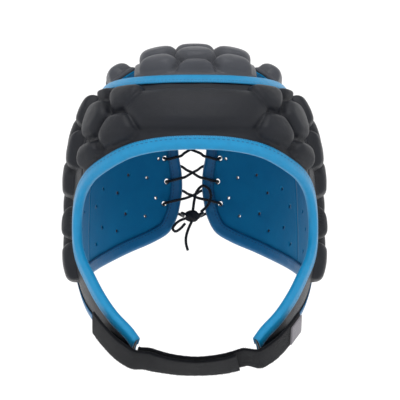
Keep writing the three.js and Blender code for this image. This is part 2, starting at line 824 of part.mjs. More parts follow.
function makeFront() {
  const grid = gridBetween(frontEdges, FRONT_GRID);
  const border = borderOf(frontEdges, { low: faceKeep, high: topKeep, left: seamKeep, right: seamKeep });
  const skip = (centre) => centre.u < frontColumn - seamHalf;
  const cells = cellsIn(border, { u: frontColumn, v: FRONT_ROW, tall: CELL_TALL, skip });
  const panel = paddedPanel(wrapForm, grid, [...cells, ...cells.map(mirrored)]);
  addNode("front_panel", panel.add(browPad()), "shell");
  addNode("front_lining", sheet(wrapForm, grid, 0, LINING), "lining");
}

function makeSides() {
  const grid = gridBetween(sideEdges, SIDE_GRID);
  const border = borderOf(sideEdges, { low: neckKeep, high: topKeep, left: faceKeep, right: neckKeep });
  const skip = (centre) => centre.v < CELLS_DOWN;
  const cells = cellsIn(border, { u: frontColumn, v: FRONT_ROW, tall: CELL_TALL, skip });
  addPair("side_panel", paddedPanel(wrapForm, grid, cells), "shell");
  addPair("side_lining", sheet(wrapForm, grid, 0, LINING), "lining");
}

function pierced(solid) {
  let left = solid;
  for (const cutter of eyelets()) left = left.subtract(cutter);
  return left;
}

function makeBacks() {
  const grid = gridBetween(backEdges, BACK_GRID);
  const border = borderOf(backEdges, { low: neckKeep, high: seamKeep, left: seamKeep, right: neckKeep });
  const cells = cellsIn(border, { u: BACK_COLUMN * QUARTER, v: BACK_ROW, tall: CELL_TALL });
  addPair("back_panel", pierced(paddedPanel(wrapForm, grid, cells)), "shell");
  addPair("back_lining", pierced(sheet(wrapForm, grid, 0, LINING)), "lining");
}

function makeCrown() {
  const grid = gridBetween(crownEdges, CROWN_GRID);
  const border = borderOf(crownEdges, { low: seamKeep, high: seamKeep, left: CROWN_FLANGE, right: CROWN_FLANGE });
  const cells = cellsIn(border, { u: 0, v: CROWN_ROW, tall: CROWN_CELL_TALL });
  addNode("crown_panel", paddedPanel(crownForm, grid, cells), "shell");
  addNode("crown_lining", sheet(crownForm, grid, 0, LINING), "lining");
}

function makeWings() {
  const grid = gridBetween(wingEdges, WING_GRID);
  const border = borderOf(wingEdges, { low: seamKeep, high: seamKeep, left: seamKeep, right: seamKeep });
  const cells = cellsIn(border, { u: 2 * CELL_WIDE + WING_SHIFT, v: WING_ROW, tall: CELL_TALL });
  addPair("crown_wing", paddedPanel(crownForm, grid, cells), "shell");
  addPair("wing_lining", sheet(crownForm, grid, 0, LINING), "lining");
}

function resampled(line, step) {
  const at = alongLine(line);
  const far = (a, b) => Math.hypot(b.u - a.u, b.v - a.v);
  const long = line.slice(1).reduce((sum, p, i) => sum + far(line[i], p), 0);
  const steps = Math.round(long / step);
  const points = [];
  for (let i = 0; i <= steps; i += 1) points.push(at(i / steps));
  return points;
}

function makeTapes() {
  const brow = resampled(topLine(-(backSeam - seamHalf), backSeam - seamHalf, 0), TAPE_STEP);
  addNode("band_top_tape", foldedTape(wrapForm, brow, -1, TOP_TAPE), "tape");
  const face = resampled([...backwards(mirrored(faceRim)), ...faceRim.slice(1)], TAPE_STEP);
  addNode("face_tape", foldedTape(wrapForm, face, 1, FACE_TAPE), "tape");
  const neck = resampled(neckRim, TAPE_STEP);
  addPair("neck_tape", foldedTape(wrapForm, neck, 1, NECK_TAPE), "tape");
}

// A flat band along a route; outAt tells how far out from the route it lies at a share to the side
function bandAlong(route, wide, thick, outAt) {
  const place = (p) => new THREE.Vector3(p.side * HEAD_HALF_WIDTH, -p.front * HEAD_FRONT, p.up * HEAD_UP);
  const curve = smoothCurve(route.map(place));
  const steps = Math.round(curve.getLength() / STRAP_STEP);
  const positions = [];
  for (let i = 0; i <= steps; i += 1) {
    const at = curve.getUtoTmapping(i / steps);
    const middle = curve.getPoint(at);
    const way = curve.getTangent(at);
    const row = Math.min(Math.floor(at * (route.length - 1)), route.length - 2);
    const share = at * (route.length - 1) - row;
    const lean = THREE.MathUtils.degToRad(THREE.MathUtils.lerp(route[row].lean, route[row + 1].lean, share));
    const across = new THREE.Vector3(0, -Math.cos(lean), Math.sin(lean));
    across.addScaledVector(way, -across.dot(way)).normalize();
    const off = new THREE.Vector3().crossVectors(across, way);
    if (off.z > 0) off.negate();
    for (const [w, h] of [[-1, -1], [1, -1], [1, 1], [-1, 1]]) {
      const out = outAt(middle.x / HEAD_HALF_WIDTH) + (h * thick) / 2;
      positions.push(middle.clone().addScaledVector(across, (w * wide) / 2).addScaledVector(off, out));
    }
  }
  return swept(positions, 4, steps + 1, BAND_CAP);
}

const otherSide = (route) => route.map((p) => ({ ...p, side: -p.side }));

// The route from the left cheek flap to below the chin and on to a reach on the right
function strapRoute(reach) {
  const whole = [...otherSide(STRAP_ROUTE), ...backwards(STRAP_ROUTE).slice(1)];
  const kept = whole.filter((p) => p.side < reach);
  const last = kept[kept.length - 1];
  const next = whole[kept.length];
  const t = (reach - last.side) / (next.side - last.side);
  const end = {};
  for (const key of Object.keys(last)) end[key] = THREE.MathUtils.lerp(last[key], next[key], t);
  return [...kept, end];
}

// The two halves of the strap lap over each other below the chin, the left one outside
function makeStraps() {
  const onFlap = (side) => THREE.MathUtils.smoothstep(Math.abs(side), LAP_FULL, LAP_START);
  const outer = (side) => FLAP_LIFT * onFlap(side);
  const inner = (side) => outer(side) - (STRAP_THICK + STRAP_GAP) * (1 - onFlap(Math.max(side, 0)));
  const left = bandAlong(strapRoute(OUTER_REACH), STRAP_WIDE, STRAP_THICK, outer);
  addNode("chin_strap_left", left, "strap");
  const right = bandAlong(otherSide(strapRoute(INNER_REACH)), STRAP_WIDE, STRAP_THICK, inner);
  addNode("chin_strap_right", right, "strap");
  const over = () => FLAP_LIFT + (STRAP_THICK + TAB_THICK) / 2 + TAB_GAP;
  addNode("strap_tab", bandAlong(STRAP_ROUTE.slice(0, 2), TAB_WIDE, TAB_THICK, over), "tab");
}

// The lace: rows of eyelets down both laced edges, and the wall that it passes round
const laceRadius = LACE_DIAMETER / 2;
const insideLace = -(TAPE_GAP + TAPE_THICK + laceRadius + LACE_CLEAR);
const outsideLace = WEB_OUT + TAPE_GAP + TAPE_THICK + laceRadius + LACE_CLEAR;
const rowAt = (row) => EYELET_TOP * HEAD_UP - row * EYELET_PITCH;
const lacedAt = (v) => split(lacedRim, "v", v).after[0].u;

// A point beside the laced edge of a side: w runs into the panel from its edge, h out from the lining
const byEdge = (side, w, v, h) => {
  const from = 2 * QUARTER - lacedAt(v) + w;
  const p = raised(wrapForm, 2 * QUARTER - from, v, h);
  p.x *= side;
  return p;
};

function eyelets() {
  const cutters = [];
  const top = CELL_TOP + TAPE_GAP;
  const levels = [[{ share: 1, height: top, crest: top }], [{ share: 1, height: -TAPE_GAP }]];
  for (let row = 0; row < EYELET_ROWS; row += 1) {
    const v = rowAt(row);
    const u = lacedAt(v) - EYELET_INSET;
    const ring = [];
    for (let i = 0; i < EYELET_SIDES; i += 1) {
      const turn = (i / EYELET_SIDES) * 2 * Math.PI;
      ring.push({ u: u + (EYELET_HOLE / 2) * Math.cos(turn), v: v + (EYELET_HOLE / 2) * Math.sin(turn) });
    }
    cutters.push(pillow(wrapForm, ring, ...levels));
  }
  return cutters;
}

// One strand from its top eyelet on a side, zigzagging down the gap to the knot
function strand(side) {
  const points = [];
  let now = side;
  for (let row = 0; row < EYELET_ROWS; row += 1) {
    const v = rowAt(row);
    const step = ({ into, down, out }, face) =>
      byEdge(now, into * EYELET_INSET, v - down * EYELET_PITCH, face + out * LACE_DIAMETER);
    points.push(byEdge(now, EYELET_INSET, v, WEB_IN));
    points.push(...STRAND_OUTSIDE.map((p) => step(p, outsideLace)));
    if (row === EYELET_ROWS - 1) break;
    points.push(raised(wrapForm, 2 * QUARTER, v - CROSS_DOWN * EYELET_PITCH, side > 0 ? CROSS_OUT : CROSS_IN));
    now = -now;
    points.push(...STRAND_INSIDE.map((p) => step(p, insideLace)));
  }
  const beside = KNOT_WIDE / 2 + KNOT_GAP;
  const above = new THREE.Vector3(now * (beside + LACE_DIAMETER), KNOT_DEEP / 2, KNOT_HIGH / 3);
  points.push(above.add(knotPlace));
  points.push(new THREE.Vector3(now * beside, 0, KNOT_HIGH / 5).add(knotPlace));
  return points;
}

function cordAlong(points) {
  const curve = smoothCurve(points);
  const outline = [];
  for (let i = 0; i < LACE_SIDES; i += 1) {
    const turn = (i / LACE_SIDES) * 2 * Math.PI;
    outline.push(new THREE.Vector2(laceRadius * Math.cos(turn), laceRadius * Math.sin(turn)));
  }
  const steps = Math.round(curve.getLength() / LACE_STEP);
  const along = { steps, extrudePath: curve, bevelEnabled: false };
  return solidOf(new THREE.ExtrudeGeometry(new THREE.Shape(outline), along));
}

function solidOf(geometry) {
  geometry.deleteAttribute("normal");
  geometry.deleteAttribute("uv");
  const merged = mergeVertices(geometry, MERGE_WITHIN);
  const place = merged.getAttribute("position");
  const positions = [];
  for (let i = 0; i < place.count; i += 1) positions.push(new THREE.Vector3().fromBufferAttribute(place, i));
  return solidFrom(positions, [...merged.index.array]);
}

// The wall's inner face at a height on the middle line of the back
function napeAt(z) {
  const rounds = 20;
  let v = 0;
  for (let i = 0; i < rounds; i += 1) v += z - wrapForm(2 * QUARTER, v).z;
  return wrapForm(2 * QUARTER, v);
}

const knotDown = wrapForm(2 * QUARTER, rowAt(EYELET_ROWS - 1) - KNOT_BELOW).z;
const knotPlace = napeAt(knotDown).add(new THREE.Vector3(0, -KNOT_IN, 0));
const hang = (p) => new THREE.Vector3(p.x, napeAt(knotDown + p.z).y - p.in, knotDown + p.z);

function makeLace() {
  const top = rowAt(0);
  const into = STRAND_INSIDE[STRAND_INSIDE.length - 1].into * EYELET_INSET;
  const bar = [
    byEdge(-1, into, top, insideLace + laceRadius / 2),
    byEdge(-1, 0, top, insideLace),
    raised(wrapForm, 2 * QUARTER, top, insideLace),
    byEdge(1, 0, top, insideLace),
    byEdge(1, into, top, insideLace + laceRadius / 2),
  ];
  addNode("lace_crossed", cordAlong([...backwards(strand(-1)), ...bar, ...strand(1)]), "lace");
  addNode("lace_loop_large", cordAlong(BOW_LARGE.map(hang)), "lace");
  addNode("lace_loop_small", cordAlong(BOW_SMALL.map(hang)), "lace");
  addNode("lace_end", cordAlong(LACE_END.map(hang)), "lace");
  const knot = new THREE.SphereGeometry(1, KNOT_SIDES, LACE_SIDES);
  knot.scale(KNOT_WIDE / 2, KNOT_DEEP / 2, KNOT_HIGH / 2);
  knot.translate(knotPlace.x, knotPlace.y, knotPlace.z);
  addNode("lace_knot", solidOf(knot), "lace");
}

makeFront();
makeSides();
makeBacks();
makeCrown();
makeWings();
makeTapes();
makeStraps();
makeLace();

export default nodes;
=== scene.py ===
import math

import bpy
import numpy as np
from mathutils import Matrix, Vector


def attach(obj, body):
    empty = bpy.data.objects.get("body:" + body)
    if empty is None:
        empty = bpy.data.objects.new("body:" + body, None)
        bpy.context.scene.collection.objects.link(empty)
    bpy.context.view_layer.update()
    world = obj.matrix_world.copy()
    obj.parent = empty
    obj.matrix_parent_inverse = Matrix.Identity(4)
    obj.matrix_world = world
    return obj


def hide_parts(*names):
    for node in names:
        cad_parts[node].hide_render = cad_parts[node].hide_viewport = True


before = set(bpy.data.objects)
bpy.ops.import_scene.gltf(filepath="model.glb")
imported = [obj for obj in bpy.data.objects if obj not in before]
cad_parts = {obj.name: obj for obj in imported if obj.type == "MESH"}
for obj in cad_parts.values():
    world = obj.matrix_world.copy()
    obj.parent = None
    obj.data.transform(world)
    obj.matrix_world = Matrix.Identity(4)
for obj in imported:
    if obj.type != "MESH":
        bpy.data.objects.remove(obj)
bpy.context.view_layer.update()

# Lengths are in millimetres here, and in metres in the meshes
MM = 0.001
HALF_WIDTH, FRONT, BACK, UP, ORIGIN_UP = 83.0, 100.0, 101.0, 102.0, 103.0
LEAN = math.radians(12)
PLAN_POWER, DOME_POWER, BROW_POWER = 2.3, 2.5, 2.1
LINING, WEB_IN, WEB_OUT = 1.2, 1.6, 4.2
CELL_RISE, PAD_RISE = 8.2, 5.5
# How far in from their outlines a cell and the brow pad level off, and how deep each starts in the web
CELL_EDGE, PAD_EDGE, CELL_SUNK, PAD_SUNK = 6.4, 8.5, 1.2, 0.6
WEB_EDGE = 1.6
CELL_WIDE, CELL_TALL, CROWN_TALL = 25.5, 29.5, 24.0
WING_COLUMN = 2 * CELL_WIDE + 8
TOP_TAPE, FACE_TAPE, NECK_TAPE, TAPE_CLEAR = 7.7, 6.2, 7.5, 1.6
TAPE_GAP, TAPE_THICK = 1.0, 1.2
SEAM_INSET, CELL_INSET, SMALLEST_CELL = 1.2, 1.2, 0.2
FRONT_ROW, BACK_ROW, CROWN_ROW, CELLS_DOWN = 29.0, 24.0, 59.0, -78.0
CROWN_HALF, CROWN_FLANGE, WING_FRONT, WING_SEAM, WING_POINT = 42.0, 4.0, 17.0, 0.2, 4.0
EYELET_PITCH, EYELET_INSET, EYELET_HOLE, EYELET_ROWS = 17.0, 10.8, 4.2, 4
LACE, LACE_CLEAR = 2.2, 1.4
CROSS_OUT, CROSS_IN, CROSS_DOWN = 4.6, 1.0, 0.6
VENT_HOLE, VENT_CLEAR, BACK_VENT_CLEAR, EYELET_CLEAR = 2.4, 9.5, 10.5, 5.0
BROW_VENTS_FROM, VENTS_DOWN = 48.0, -60.0
CUTTER_ENDS = (-4.0, 16.0)
GIRTH = (HALF_WIDTH + (FRONT + BACK) / 2) / 2
QUARTER = GIRTH * math.pi / 2
FRONT_COLUMN, BACK_COLUMN, BACK_SEAM = 0.38 * QUARTER, 1.681 * QUARTER, 1.298 * QUARTER
EYELET_TOP = 0.696 * UP
# The panels meet at their seams here, where the CAD leaves gaps
SEAM_HALF, CROWN_LIFT = 0.1, 2.3
# Pitch of the grids and of the steps along a tape, strap or lace
SHELL_STEP, LINING_STEP, TAPE_STEP, STRAP_STEP, LACE_STEP = 1.05, 2.4, 2.2, 1.6, 1.5
FRONT_SEAM = FRONT_COLUMN + 1.5 * CELL_WIDE

# How the form draws in below its widest level: down, side, front, back
DRAW_IN = np.array([
    (0.0, 1.0, 1.0, 1.0),
    (0.25, 1.0, 0.99, 0.985),
    (0.44, 0.985, 0.95, 0.95),
    (0.59, 0.94, 0.9, 0.91),
    (0.74, 0.88, 0.85, 0.87),
    (0.88, 0.8, 0.79, 0.83),
    (1.03, 0.7, 0.72, 0.8),
    (1.23, 0.55, 0.62, 0.76),
])
# Outlines on the wrap: shares of a quarter round and of UP
FACE_RIM = [
    (0.0, 0.165), (0.16, 0.158), (0.31, 0.132), (0.45, 0.078), (0.58, 0.026), (0.7, -0.06), (0.772, -0.18),
    (0.775, -0.31), (0.722, -0.45), (0.655, -0.58), (0.6, -0.71), (0.53, -0.86), (0.45, -0.97),
    (0.418, -1.04),
]
NECK_RIM = [
    (0.53, -1.13), (0.62, -1.05), (0.75, -0.93), (0.88, -0.8), (1.01, -0.66), (1.16, -0.52), (1.33, -0.415),
    (1.5, -0.3), (1.66, -0.18), (1.79, -0.085), (1.865, -0.01), (1.903, 0.09), (1.922, 0.2), (1.932, 0.32),
    (1.925, 0.44), (1.905, 0.56), (1.895, 0.68), (1.893, 0.78),
]
TOP_RIM = np.array([
    (0.0, 0.73), (0.3, 0.735), (0.6, 0.765), (0.78, 0.785), (0.95, 0.79), (1.15, 0.775), (1.3, 0.765),
    (1.65, 0.765), (2.0, 0.765),
])
BROW_PAD = [(0.0, 0.598), (0.335, 0.585), (0.373, 0.455), (0.28, 0.285), (0.0, 0.262)]
# The chin strap's route: shares of HALF_WIDTH, FRONT and UP, and its lean in degrees
STRAP_ROUTE = [
    (0.813, 0.61, -1.799, 45), (0.725, 0.683, -1.882, 44), (0.608, 0.75, -1.969, 42),
    (0.458, 0.785, -2.035, 38), (0.241, 0.785, -2.084, 31), (0.0, 0.78, -2.103, 28),
]
# The lace between two rows, outside the cap and inside it: shares of the inset, the pitch and its diameter
STRAND_OUTSIDE = [(0.815, 0.07, 0), (0.23, 0.27, 0.18), (-0.34, 0.4, 0.18), (-0.6, 0.506, -1.18)]
STRAND_INSIDE = [(-0.6, 0.718, 1.36), (-0.32, 0.788, -0.18), (0.23, 0.87, -0.18), (0.778, 0.965, 0)]
# The bow, from its knot: x, z and how far inside the nape
BOW_LARGE = [
    (0.4, 4.6, 8.6), (1.6, 12.8, 8), (3.4, 19.2, 7.6), (8.3, 23.8, 7.6), (13.4, 20.6, 7.8),
    (14.4, 14.2, 8), (11.8, 8.2, 8.2), (6.6, 3.2, 8.2),
]
BOW_SMALL = [
    (-5.2, -1.8, 7.4), (-9.6, -3.4, 6.8), (-13.4, -6.4, 6.4), (-15.4, -9.8, 6.4), (-13.4, -12, 6.6),
    (-9.4, -9.8, 7.2), (-5.6, -5.6, 7.8),
]
LACE_END = [(-0.6, -4.3, 8), (-3.4, -10.6, 8), (-5, -16.2, 8), (-5, -21.6, 8), (-3.6, -26.6, 8)]
KNOT_SIZE = (11.0, 6.0, 7.5)
# The knot is fuller here than in the CAD, so that the laces meet it
KNOT_FULLER = (1.08, 1.03, 1.24)
KNOT_BELOW, KNOT_IN, KNOT_GAP = 9.4, 7.5, 0.4


# ---- the head form ----
def hermite(xs, ys, at):
    """A smooth curve through a table of values."""
    n = len(xs)
    low = np.maximum(np.arange(n) - 1, 0)
    high = np.minimum(np.arange(n) + 1, n - 1)
    slope = (ys[high] - ys[low]) / (xs[high] - xs[low])
    i = np.clip(np.searchsorted(xs, at) - 1, 0, n - 2)
    wide = xs[i + 1] - xs[i]
    t = np.clip((at - xs[i]) / wide, 0, 1)
    t2, t3 = t * t, t * t * t
    return (
        ys[i] * (2 * t3 - 3 * t2 + 1)
        + slope[i] * wide * (t3 - 2 * t2 + t)
        + ys[i + 1] * (3 * t2 - 2 * t3)
        + slope[i + 1] * wide * (t3 - t2)
    )


def leaned(x, y, z):
    c, s = math.cos(LEAN), math.sin(LEAN)
    return np.stack([x, y * c + z * s, z * c - y * s - ORIGIN_UP], -1)


def dome_power(ahead):
    return DOME_POWER - (DOME_POWER - BROW_POWER) * np.maximum(ahead, 0) ** 2


def wrap_form(u, v):
    """The head form: u is round it from the brow, v up from its widest level."""
    u, v = np.broadcast_arrays(np.asarray(u, float), np.asarray(v, float))
    turn = u / GIRTH
    mean = (FRONT + BACK) / 2
    even = (mean - HALF_WIDTH) / (2 * (mean + HALF_WIDTH))
    a = turn - even * np.sin(2 * turn)
    ahead = np.cos(a) > 0
    depth = np.where(ahead, FRONT, BACK)
    plan = np.abs(np.sin(a) / HALF_WIDTH) ** PLAN_POWER + np.abs(np.cos(a) / depth) ** PLAN_POWER
    radius = plan ** (-1 / PLAN_POWER)
    rise = np.maximum(v, 0) / UP
    dome = dome_power(np.cos(a))
    q = (np.abs(np.cos(rise)) ** dome + np.abs(np.sin(rise)) ** dome) ** (-1 / dome)
    flat = radius * q * np.cos(rise)
    over = leaned(flat * np.sin(a), -flat * np.cos(a), UP * q * np.sin(rise))
    down = np.maximum(-v, 0) / UP
    side = hermite(DRAW_IN[:, 0], DRAW_IN[:, 1], down)
    front = hermite(DRAW_IN[:, 0], DRAW_IN[:, 2], down)
    back = hermite(DRAW_IN[:, 0], DRAW_IN[:, 3], down)
    lengthwise = np.where(ahead, front, back)
    under = leaned(radius * np.sin(a) * side, -radius * np.cos(a) * lengthwise, v)
    return np.where((v > 0)[..., None], over, under)


def crown_form(u, v):
    """The same form from above: u is across the crown, v forward."""
    u, v = np.broadcast_arrays(np.asarray(u, float), np.asarray(v, float))
    wx = np.sin(u / UP)
    wy = -np.cos(u / UP) * np.sin(v / UP)
    wz = np.cos(u / UP) * np.cos(v / UP)
    c, s = math.cos(LEAN), math.sin(LEAN)
    y = wy * c - wz * s
    z = wy * s + wz * c
    depth = np.where(y < 0, FRONT, BACK)
    plan = np.abs(wx / HALF_WIDTH) ** PLAN_POWER + np.abs(y / depth) ** PLAN_POWER
    dome = dome_power(-y / np.maximum(np.hypot(wx, y), 1e-6))
    reach = (plan ** (dome / PLAN_POWER) + np.abs(z / UP) ** dome) ** (-1 / dome)
    return np.stack([wx * reach, wy * reach, wz * reach - ORIGIN_UP], -1)


def raised(form, u, v, height):
    """Points at a height over the form, outwards."""
    step = 0.5
    u, v = np.asarray(u, float), np.asarray(v, float)
    here = form(u, v)
    out = np.cross(form(u + step, v) - form(u - step, v), form(u, v + step) - form(u, v - step))
    out /= np.linalg.norm(out, axis=-1, keepdims=True)
    from_middle = here + np.array([0, 0, ORIGIN_UP])
    out *= np.where((out * from_middle).sum(-1, keepdims=True) < 0, -1, 1)
    return here + out * np.asarray(height, float)[..., None]


# ---- lines ----
def smooth_points(points, per=24):
    """A centripetal curve through the points."""
    p = [np.array(q, float) for q in points]
    p = [2 * p[0] - p[1]] + p + [2 * p[-1] - p[-2]]
    out = []
    for i in range(1, len(p) - 2):
        p0, p1, p2, p3 = p[i - 1 : i + 3]
        d0, d1, d2 = (max(math.sqrt(np.linalg.norm(b - a)), 1e-6) for a, b in ((p0, p1), (p1, p2), (p2, p3)))
        t1 = ((p1 - p0) / d0 - (p2 - p0) / (d0 + d1) + (p2 - p1) / d1) * d1
        t2 = ((p2 - p1) / d1 - (p3 - p1) / (d1 + d2) + (p3 - p2) / d2) * d1
        for k in range(per):
            t = k / per
            out.append(p1 + t1 * t + (3 * (p2 - p1) - 2 * t1 - t2) * t**2 + (2 * (p1 - p2) + t1 + t2) * t**3)
    out.append(p[-2])
    return np.array(out)


def along(line, shares):
    far = np.concatenate([[0], np.cumsum(np.linalg.norm(np.diff(line, axis=0), axis=1))])
    want = np.asarray(shares) * far[-1]
    return np.stack([np.interp(want, far, line[:, k]) for k in range(line.shape[1])], -1)


def length_of(line):
    return float(np.linalg.norm(np.diff(line, axis=0), axis=1).sum())


def stepped(line, step):
    return along(line, np.linspace(0, 1, max(2, round(length_of(line) / step)) + 1))


def top_at(u):
    return hermite(TOP_RIM[:, 0], TOP_RIM[:, 1], np.abs(u) / QUARTER) * UP


def top_line(start, end, lift=0.0):
    u = np.linspace(start, end, 60)
    return np.stack([u, top_at(u) + lift], -1)


def split(line, axis, value):
    side = line[:, axis] - value
    i = int(np.nonzero(side[:-1] * side[1:] <= 0)[0][0])
    t = side[i] / (side[i] - side[i + 1])
    at = line[i] + (line[i + 1] - line[i]) * t
    return np.vstack([line[: i + 1], at]), np.vstack([at, line[i + 1 :]])


def mirrored(line):
    return line * np.array([-1.0] + [1.0] * (line.shape[1] - 1))


def whole(half):
    return np.vstack([mirrored(half)[::-1], half[1:]])


def rim(rows):
    return along(smooth_points([(a * QUARTER, b * UP) for a, b in rows]), np.linspace(0, 1, 201))


face_rim, neck_rim = rim(FACE_RIM), rim(NECK_RIM)
brow_rim = split(face_rim, 0, FRONT_SEAM - SEAM_HALF)[0]
cheek_rim = split(face_rim, 0, FRONT_SEAM + SEAM_HALF)[1]
jaw_rim = split(neck_rim, 0, BACK_SEAM - SEAM_HALF)[0]
nape_rim, laced_rim = split(split(neck_rim, 0, BACK_SEAM + SEAM_HALF)[1], 1, 0.02 * UP)


def edges(low, high, left=None, right=None):
    left = np.array([low[0], high[0]]) if left is None else left
    right = np.array([low[-1], high[-1]]) if right is None else right
    return low, high, left, right


brow_line = whole(brow_rim)
front_edges = edges(brow_line, top_line(-(FRONT_SEAM - SEAM_HALF), FRONT_SEAM - SEAM_HALF))
side_top = top_line(FRONT_SEAM + SEAM_HALF, BACK_SEAM - SEAM_HALF)
side_edges = edges(
    np.array([face_rim[-1], neck_rim[0]]),
    side_top,
    np.vstack([cheek_rim[::-1], side_top[:1]]),
    np.vstack([jaw_rim, side_top[-1:]]),
)
back_top = top_line(BACK_SEAM + SEAM_HALF, laced_rim[-1, 0], CROWN_LIFT - 2 * SEAM_HALF)
back_edges = edges(nape_rim, back_top, None, np.vstack([laced_rim[:-1], back_top[-1:]]))


def on_crown(points):
    way = points + np.array([0, 0, ORIGIN_UP])
    way /= np.linalg.norm(way, axis=-1, keepdims=True)
    return np.stack([np.arcsin(way[:, 0]) * UP, np.arctan2(-way[:, 1], way[:, 2]) * UP], -1)


rim_line = top_line(0, 2 * QUARTER, CROWN_LIFT)
rim_on_crown = on_crown(wrap_form(rim_line[:, 0], rim_line[:, 1]))
wing_side = CROWN_HALF + WING_SEAM
crown_edges = edges(
    whole(split(rim_on_crown[::-1], 0, CROWN_HALF)[0]), whole(split(rim_on_crown, 0, CROWN_HALF)[0])
)
wing_rim = split(split(rim_on_crown, 1, WING_FRONT)[1], 0, wing_side + WING_POINT)[0][::-1]
wing_edges = edges(
    np.array([(wing_side, wing_rim[0, 1]), wing_rim[0]]),
    np.array([(wing_side, WING_FRONT), wing_rim[-1]]),
    np.array([(wing_side, wing_rim[0, 1]), (wing_side, WING_FRONT)]),
    wing_rim,
)


def coons(panel, step):
    """A grid of flat points between four edges."""
    low, high, left, right = panel
    rows = max(4, round(max(length_of(left), length_of(right)) / step))
    across = max(4, round(max(length_of(low), length_of(high)) / step))
    s = np.linspace(0, 1, rows + 1)
    t = np.linspace(0, 1, across + 1)
    lo, hi, le, ri = along(low, t), along(high, t), along(left, s), along(right, s)
    s, t = s[:, None, None], t[None, :, None]
    corners_low = (1 - t) * low[0] + t * low[-1]
    corners_high = (1 - t) * high[0] + t * high[-1]
    upright = (1 - s) * (lo[None] - corners_low) + s * (hi[None] - corners_high)
    return upright + (1 - t) * le[:, None] + t * ri[:, None]


def border_of(panel, keeps, steps=14):
    """A panel's outline, with the room that the cells keep from each edge."""
    low, high, left, right = panel
    parts = []
    sides = ((low, keeps[0], 0), (right, keeps[3], 0), (high, keeps[1], 1), (left, keeps[2], 1))
    for line, keep, back in sides:
        share = np.arange(steps) / steps
        points = along(line, 1 - share if back else share)
        parts.append(np.column_stack([points, np.full(steps, keep)]))
    return np.vstack(parts)


def inside(border, p):
    x, y = border[:, 0], border[:, 1]
    xn, yn = np.roll(x, -1), np.roll(y, -1)
    with np.errstate(divide="ignore", invalid="ignore"):
        hit = ((y > p[1]) != (yn > p[1])) & (p[0] < (xn - x) * (p[1] - y) / (yn - y) + x)
    return bool(hit.sum() % 2)


def area_of(poly):
    x, y = poly[:, 0], poly[:, 1]
    return abs((x * np.roll(y, -1) - np.roll(x, -1) * y).sum()) / 2


def half_of(poly, point, inward):
    side = (poly - point) @ inward
    kept = []
    for i in range(len(poly)):
        j = (i + 1) % len(poly)
        if side[i] >= 0:
            kept.append(poly[i])
        if side[i] * side[j] < 0:
            kept.append(poly[i] + (poly[j] - poly[i]) * side[i] / (side[i] - side[j]))
    return np.array(kept).reshape(-1, 2)


def trimmed(cell, centre, border):
    """What is left of a cell inside a panel, or None."""
    anchor = centre
    if not inside(border, centre):
        within = [p for p in cell if inside(border, p)]
        if not within:
            return None
        anchor = np.mean(within, axis=0)
    kept = cell
    for i in range(len(border)):
        a, b = border[i, :2], border[(i + 1) % len(border), :2]
        long = np.linalg.norm(b - a)
        if long < 1e-4 or len(kept) < 3:
            continue
        near = a + (b - a) * np.clip((anchor - a) @ (b - a) / long**2, 0, 1)
        if np.linalg.norm(near - centre) > CELL_TALL:
            continue
        inward = np.array([-(b - a)[1], (b - a)[0]]) / long
        if not inside(border, (a + b) / 2 + inward * long / 100):
            inward = -inward
        kept = half_of(kept, near + inward * border[i, 2], inward)
    if len(kept) < 3 or area_of(kept) < SMALLEST_CELL * area_of(cell):
        return None
    return kept


def lattice_of(border, u0, v0, tall):
    low, high = border[:, :2].min(0), border[:, :2].max(0)
    for column in range(math.floor((low[0] - u0) / CELL_WIDE) - 1, math.ceil((high[0] - u0) / CELL_WIDE) + 2):
        shift = tall / 2 if column % 2 else 0
        for row in range(math.floor((low[1] - v0) / tall) - 1, math.ceil((high[1] - v0) / tall) + 2):
            yield np.array([u0 + column * CELL_WIDE, v0 + row * tall + shift])


def cells_in(border, u0, v0, tall, skip=None):
    slant = math.atan2(CELL_WIDE / 3, tall / 2)
    wide = CELL_WIDE * 2 / 3 - CELL_INSET / math.cos(slant)
    high = tall / 2 - CELL_INSET
    flat = wide - high * math.tan(slant)
    shape = np.array([(wide, 0), (flat, high), (-flat, high), (-wide, 0), (-flat, -high), (flat, -high)])
    cells = []
    for centre in lattice_of(border, u0, v0, tall):
        if skip and skip(centre):
            continue
        kept = trimmed(shape + centre, centre, border)
        if kept is not None:
            cells.append(kept)
    return cells


def edge_distance(poly, u, v):
    """Distance inside a convex outline, rounded at its corners."""
    middle = poly.mean(0)
    total = np.zeros_like(u)
    sharp = 0.75
    for i in range(len(poly)):
        a, b = poly[i], poly[(i + 1) % len(poly)]
        long = np.linalg.norm(b - a)
        if long < 0.6:
            continue
        inward = np.array([-(b - a)[1], (b - a)[0]]) / long
        if (middle - a) @ inward < 0:
            inward = -inward
        total += np.exp(-sharp * np.clip((u - a[0]) * inward[0] + (v - a[1]) * inward[1], -40, 60))
    return -np.log(np.maximum(total, 1e-30)) / sharp


def pillow_height(poly, u, v, rise, edge):
    """A foam pad over a convex outline, steep at its edge and nearly level in the middle."""
    d = edge_distance(poly, u, v)
    x = np.clip(d / edge, 0, 1)
    puff = (1 - (1 - x) ** 2.4) ** (1 / 2.0)
    most = max(float(d.max()), edge)
    return rise * puff * (0.9 + 0.1 * np.clip(d / most, 0, 1))


def to_border(border, u, v):
    """How far each point is from an outline."""
    best = np.full(u.shape, 1e9)
    for i in range(len(border)):
        a, b = border[i, :2], border[(i + 1) % len(border), :2]
        ab = b - a
        t = np.clip(((u - a[0]) * ab[0] + (v - a[1]) * ab[1]) / max(ab @ ab, 1e-9), 0, 1)
        best = np.minimum(best, np.hypot(u - a[0] - ab[0] * t, v - a[1] - ab[1] * t))
    return best


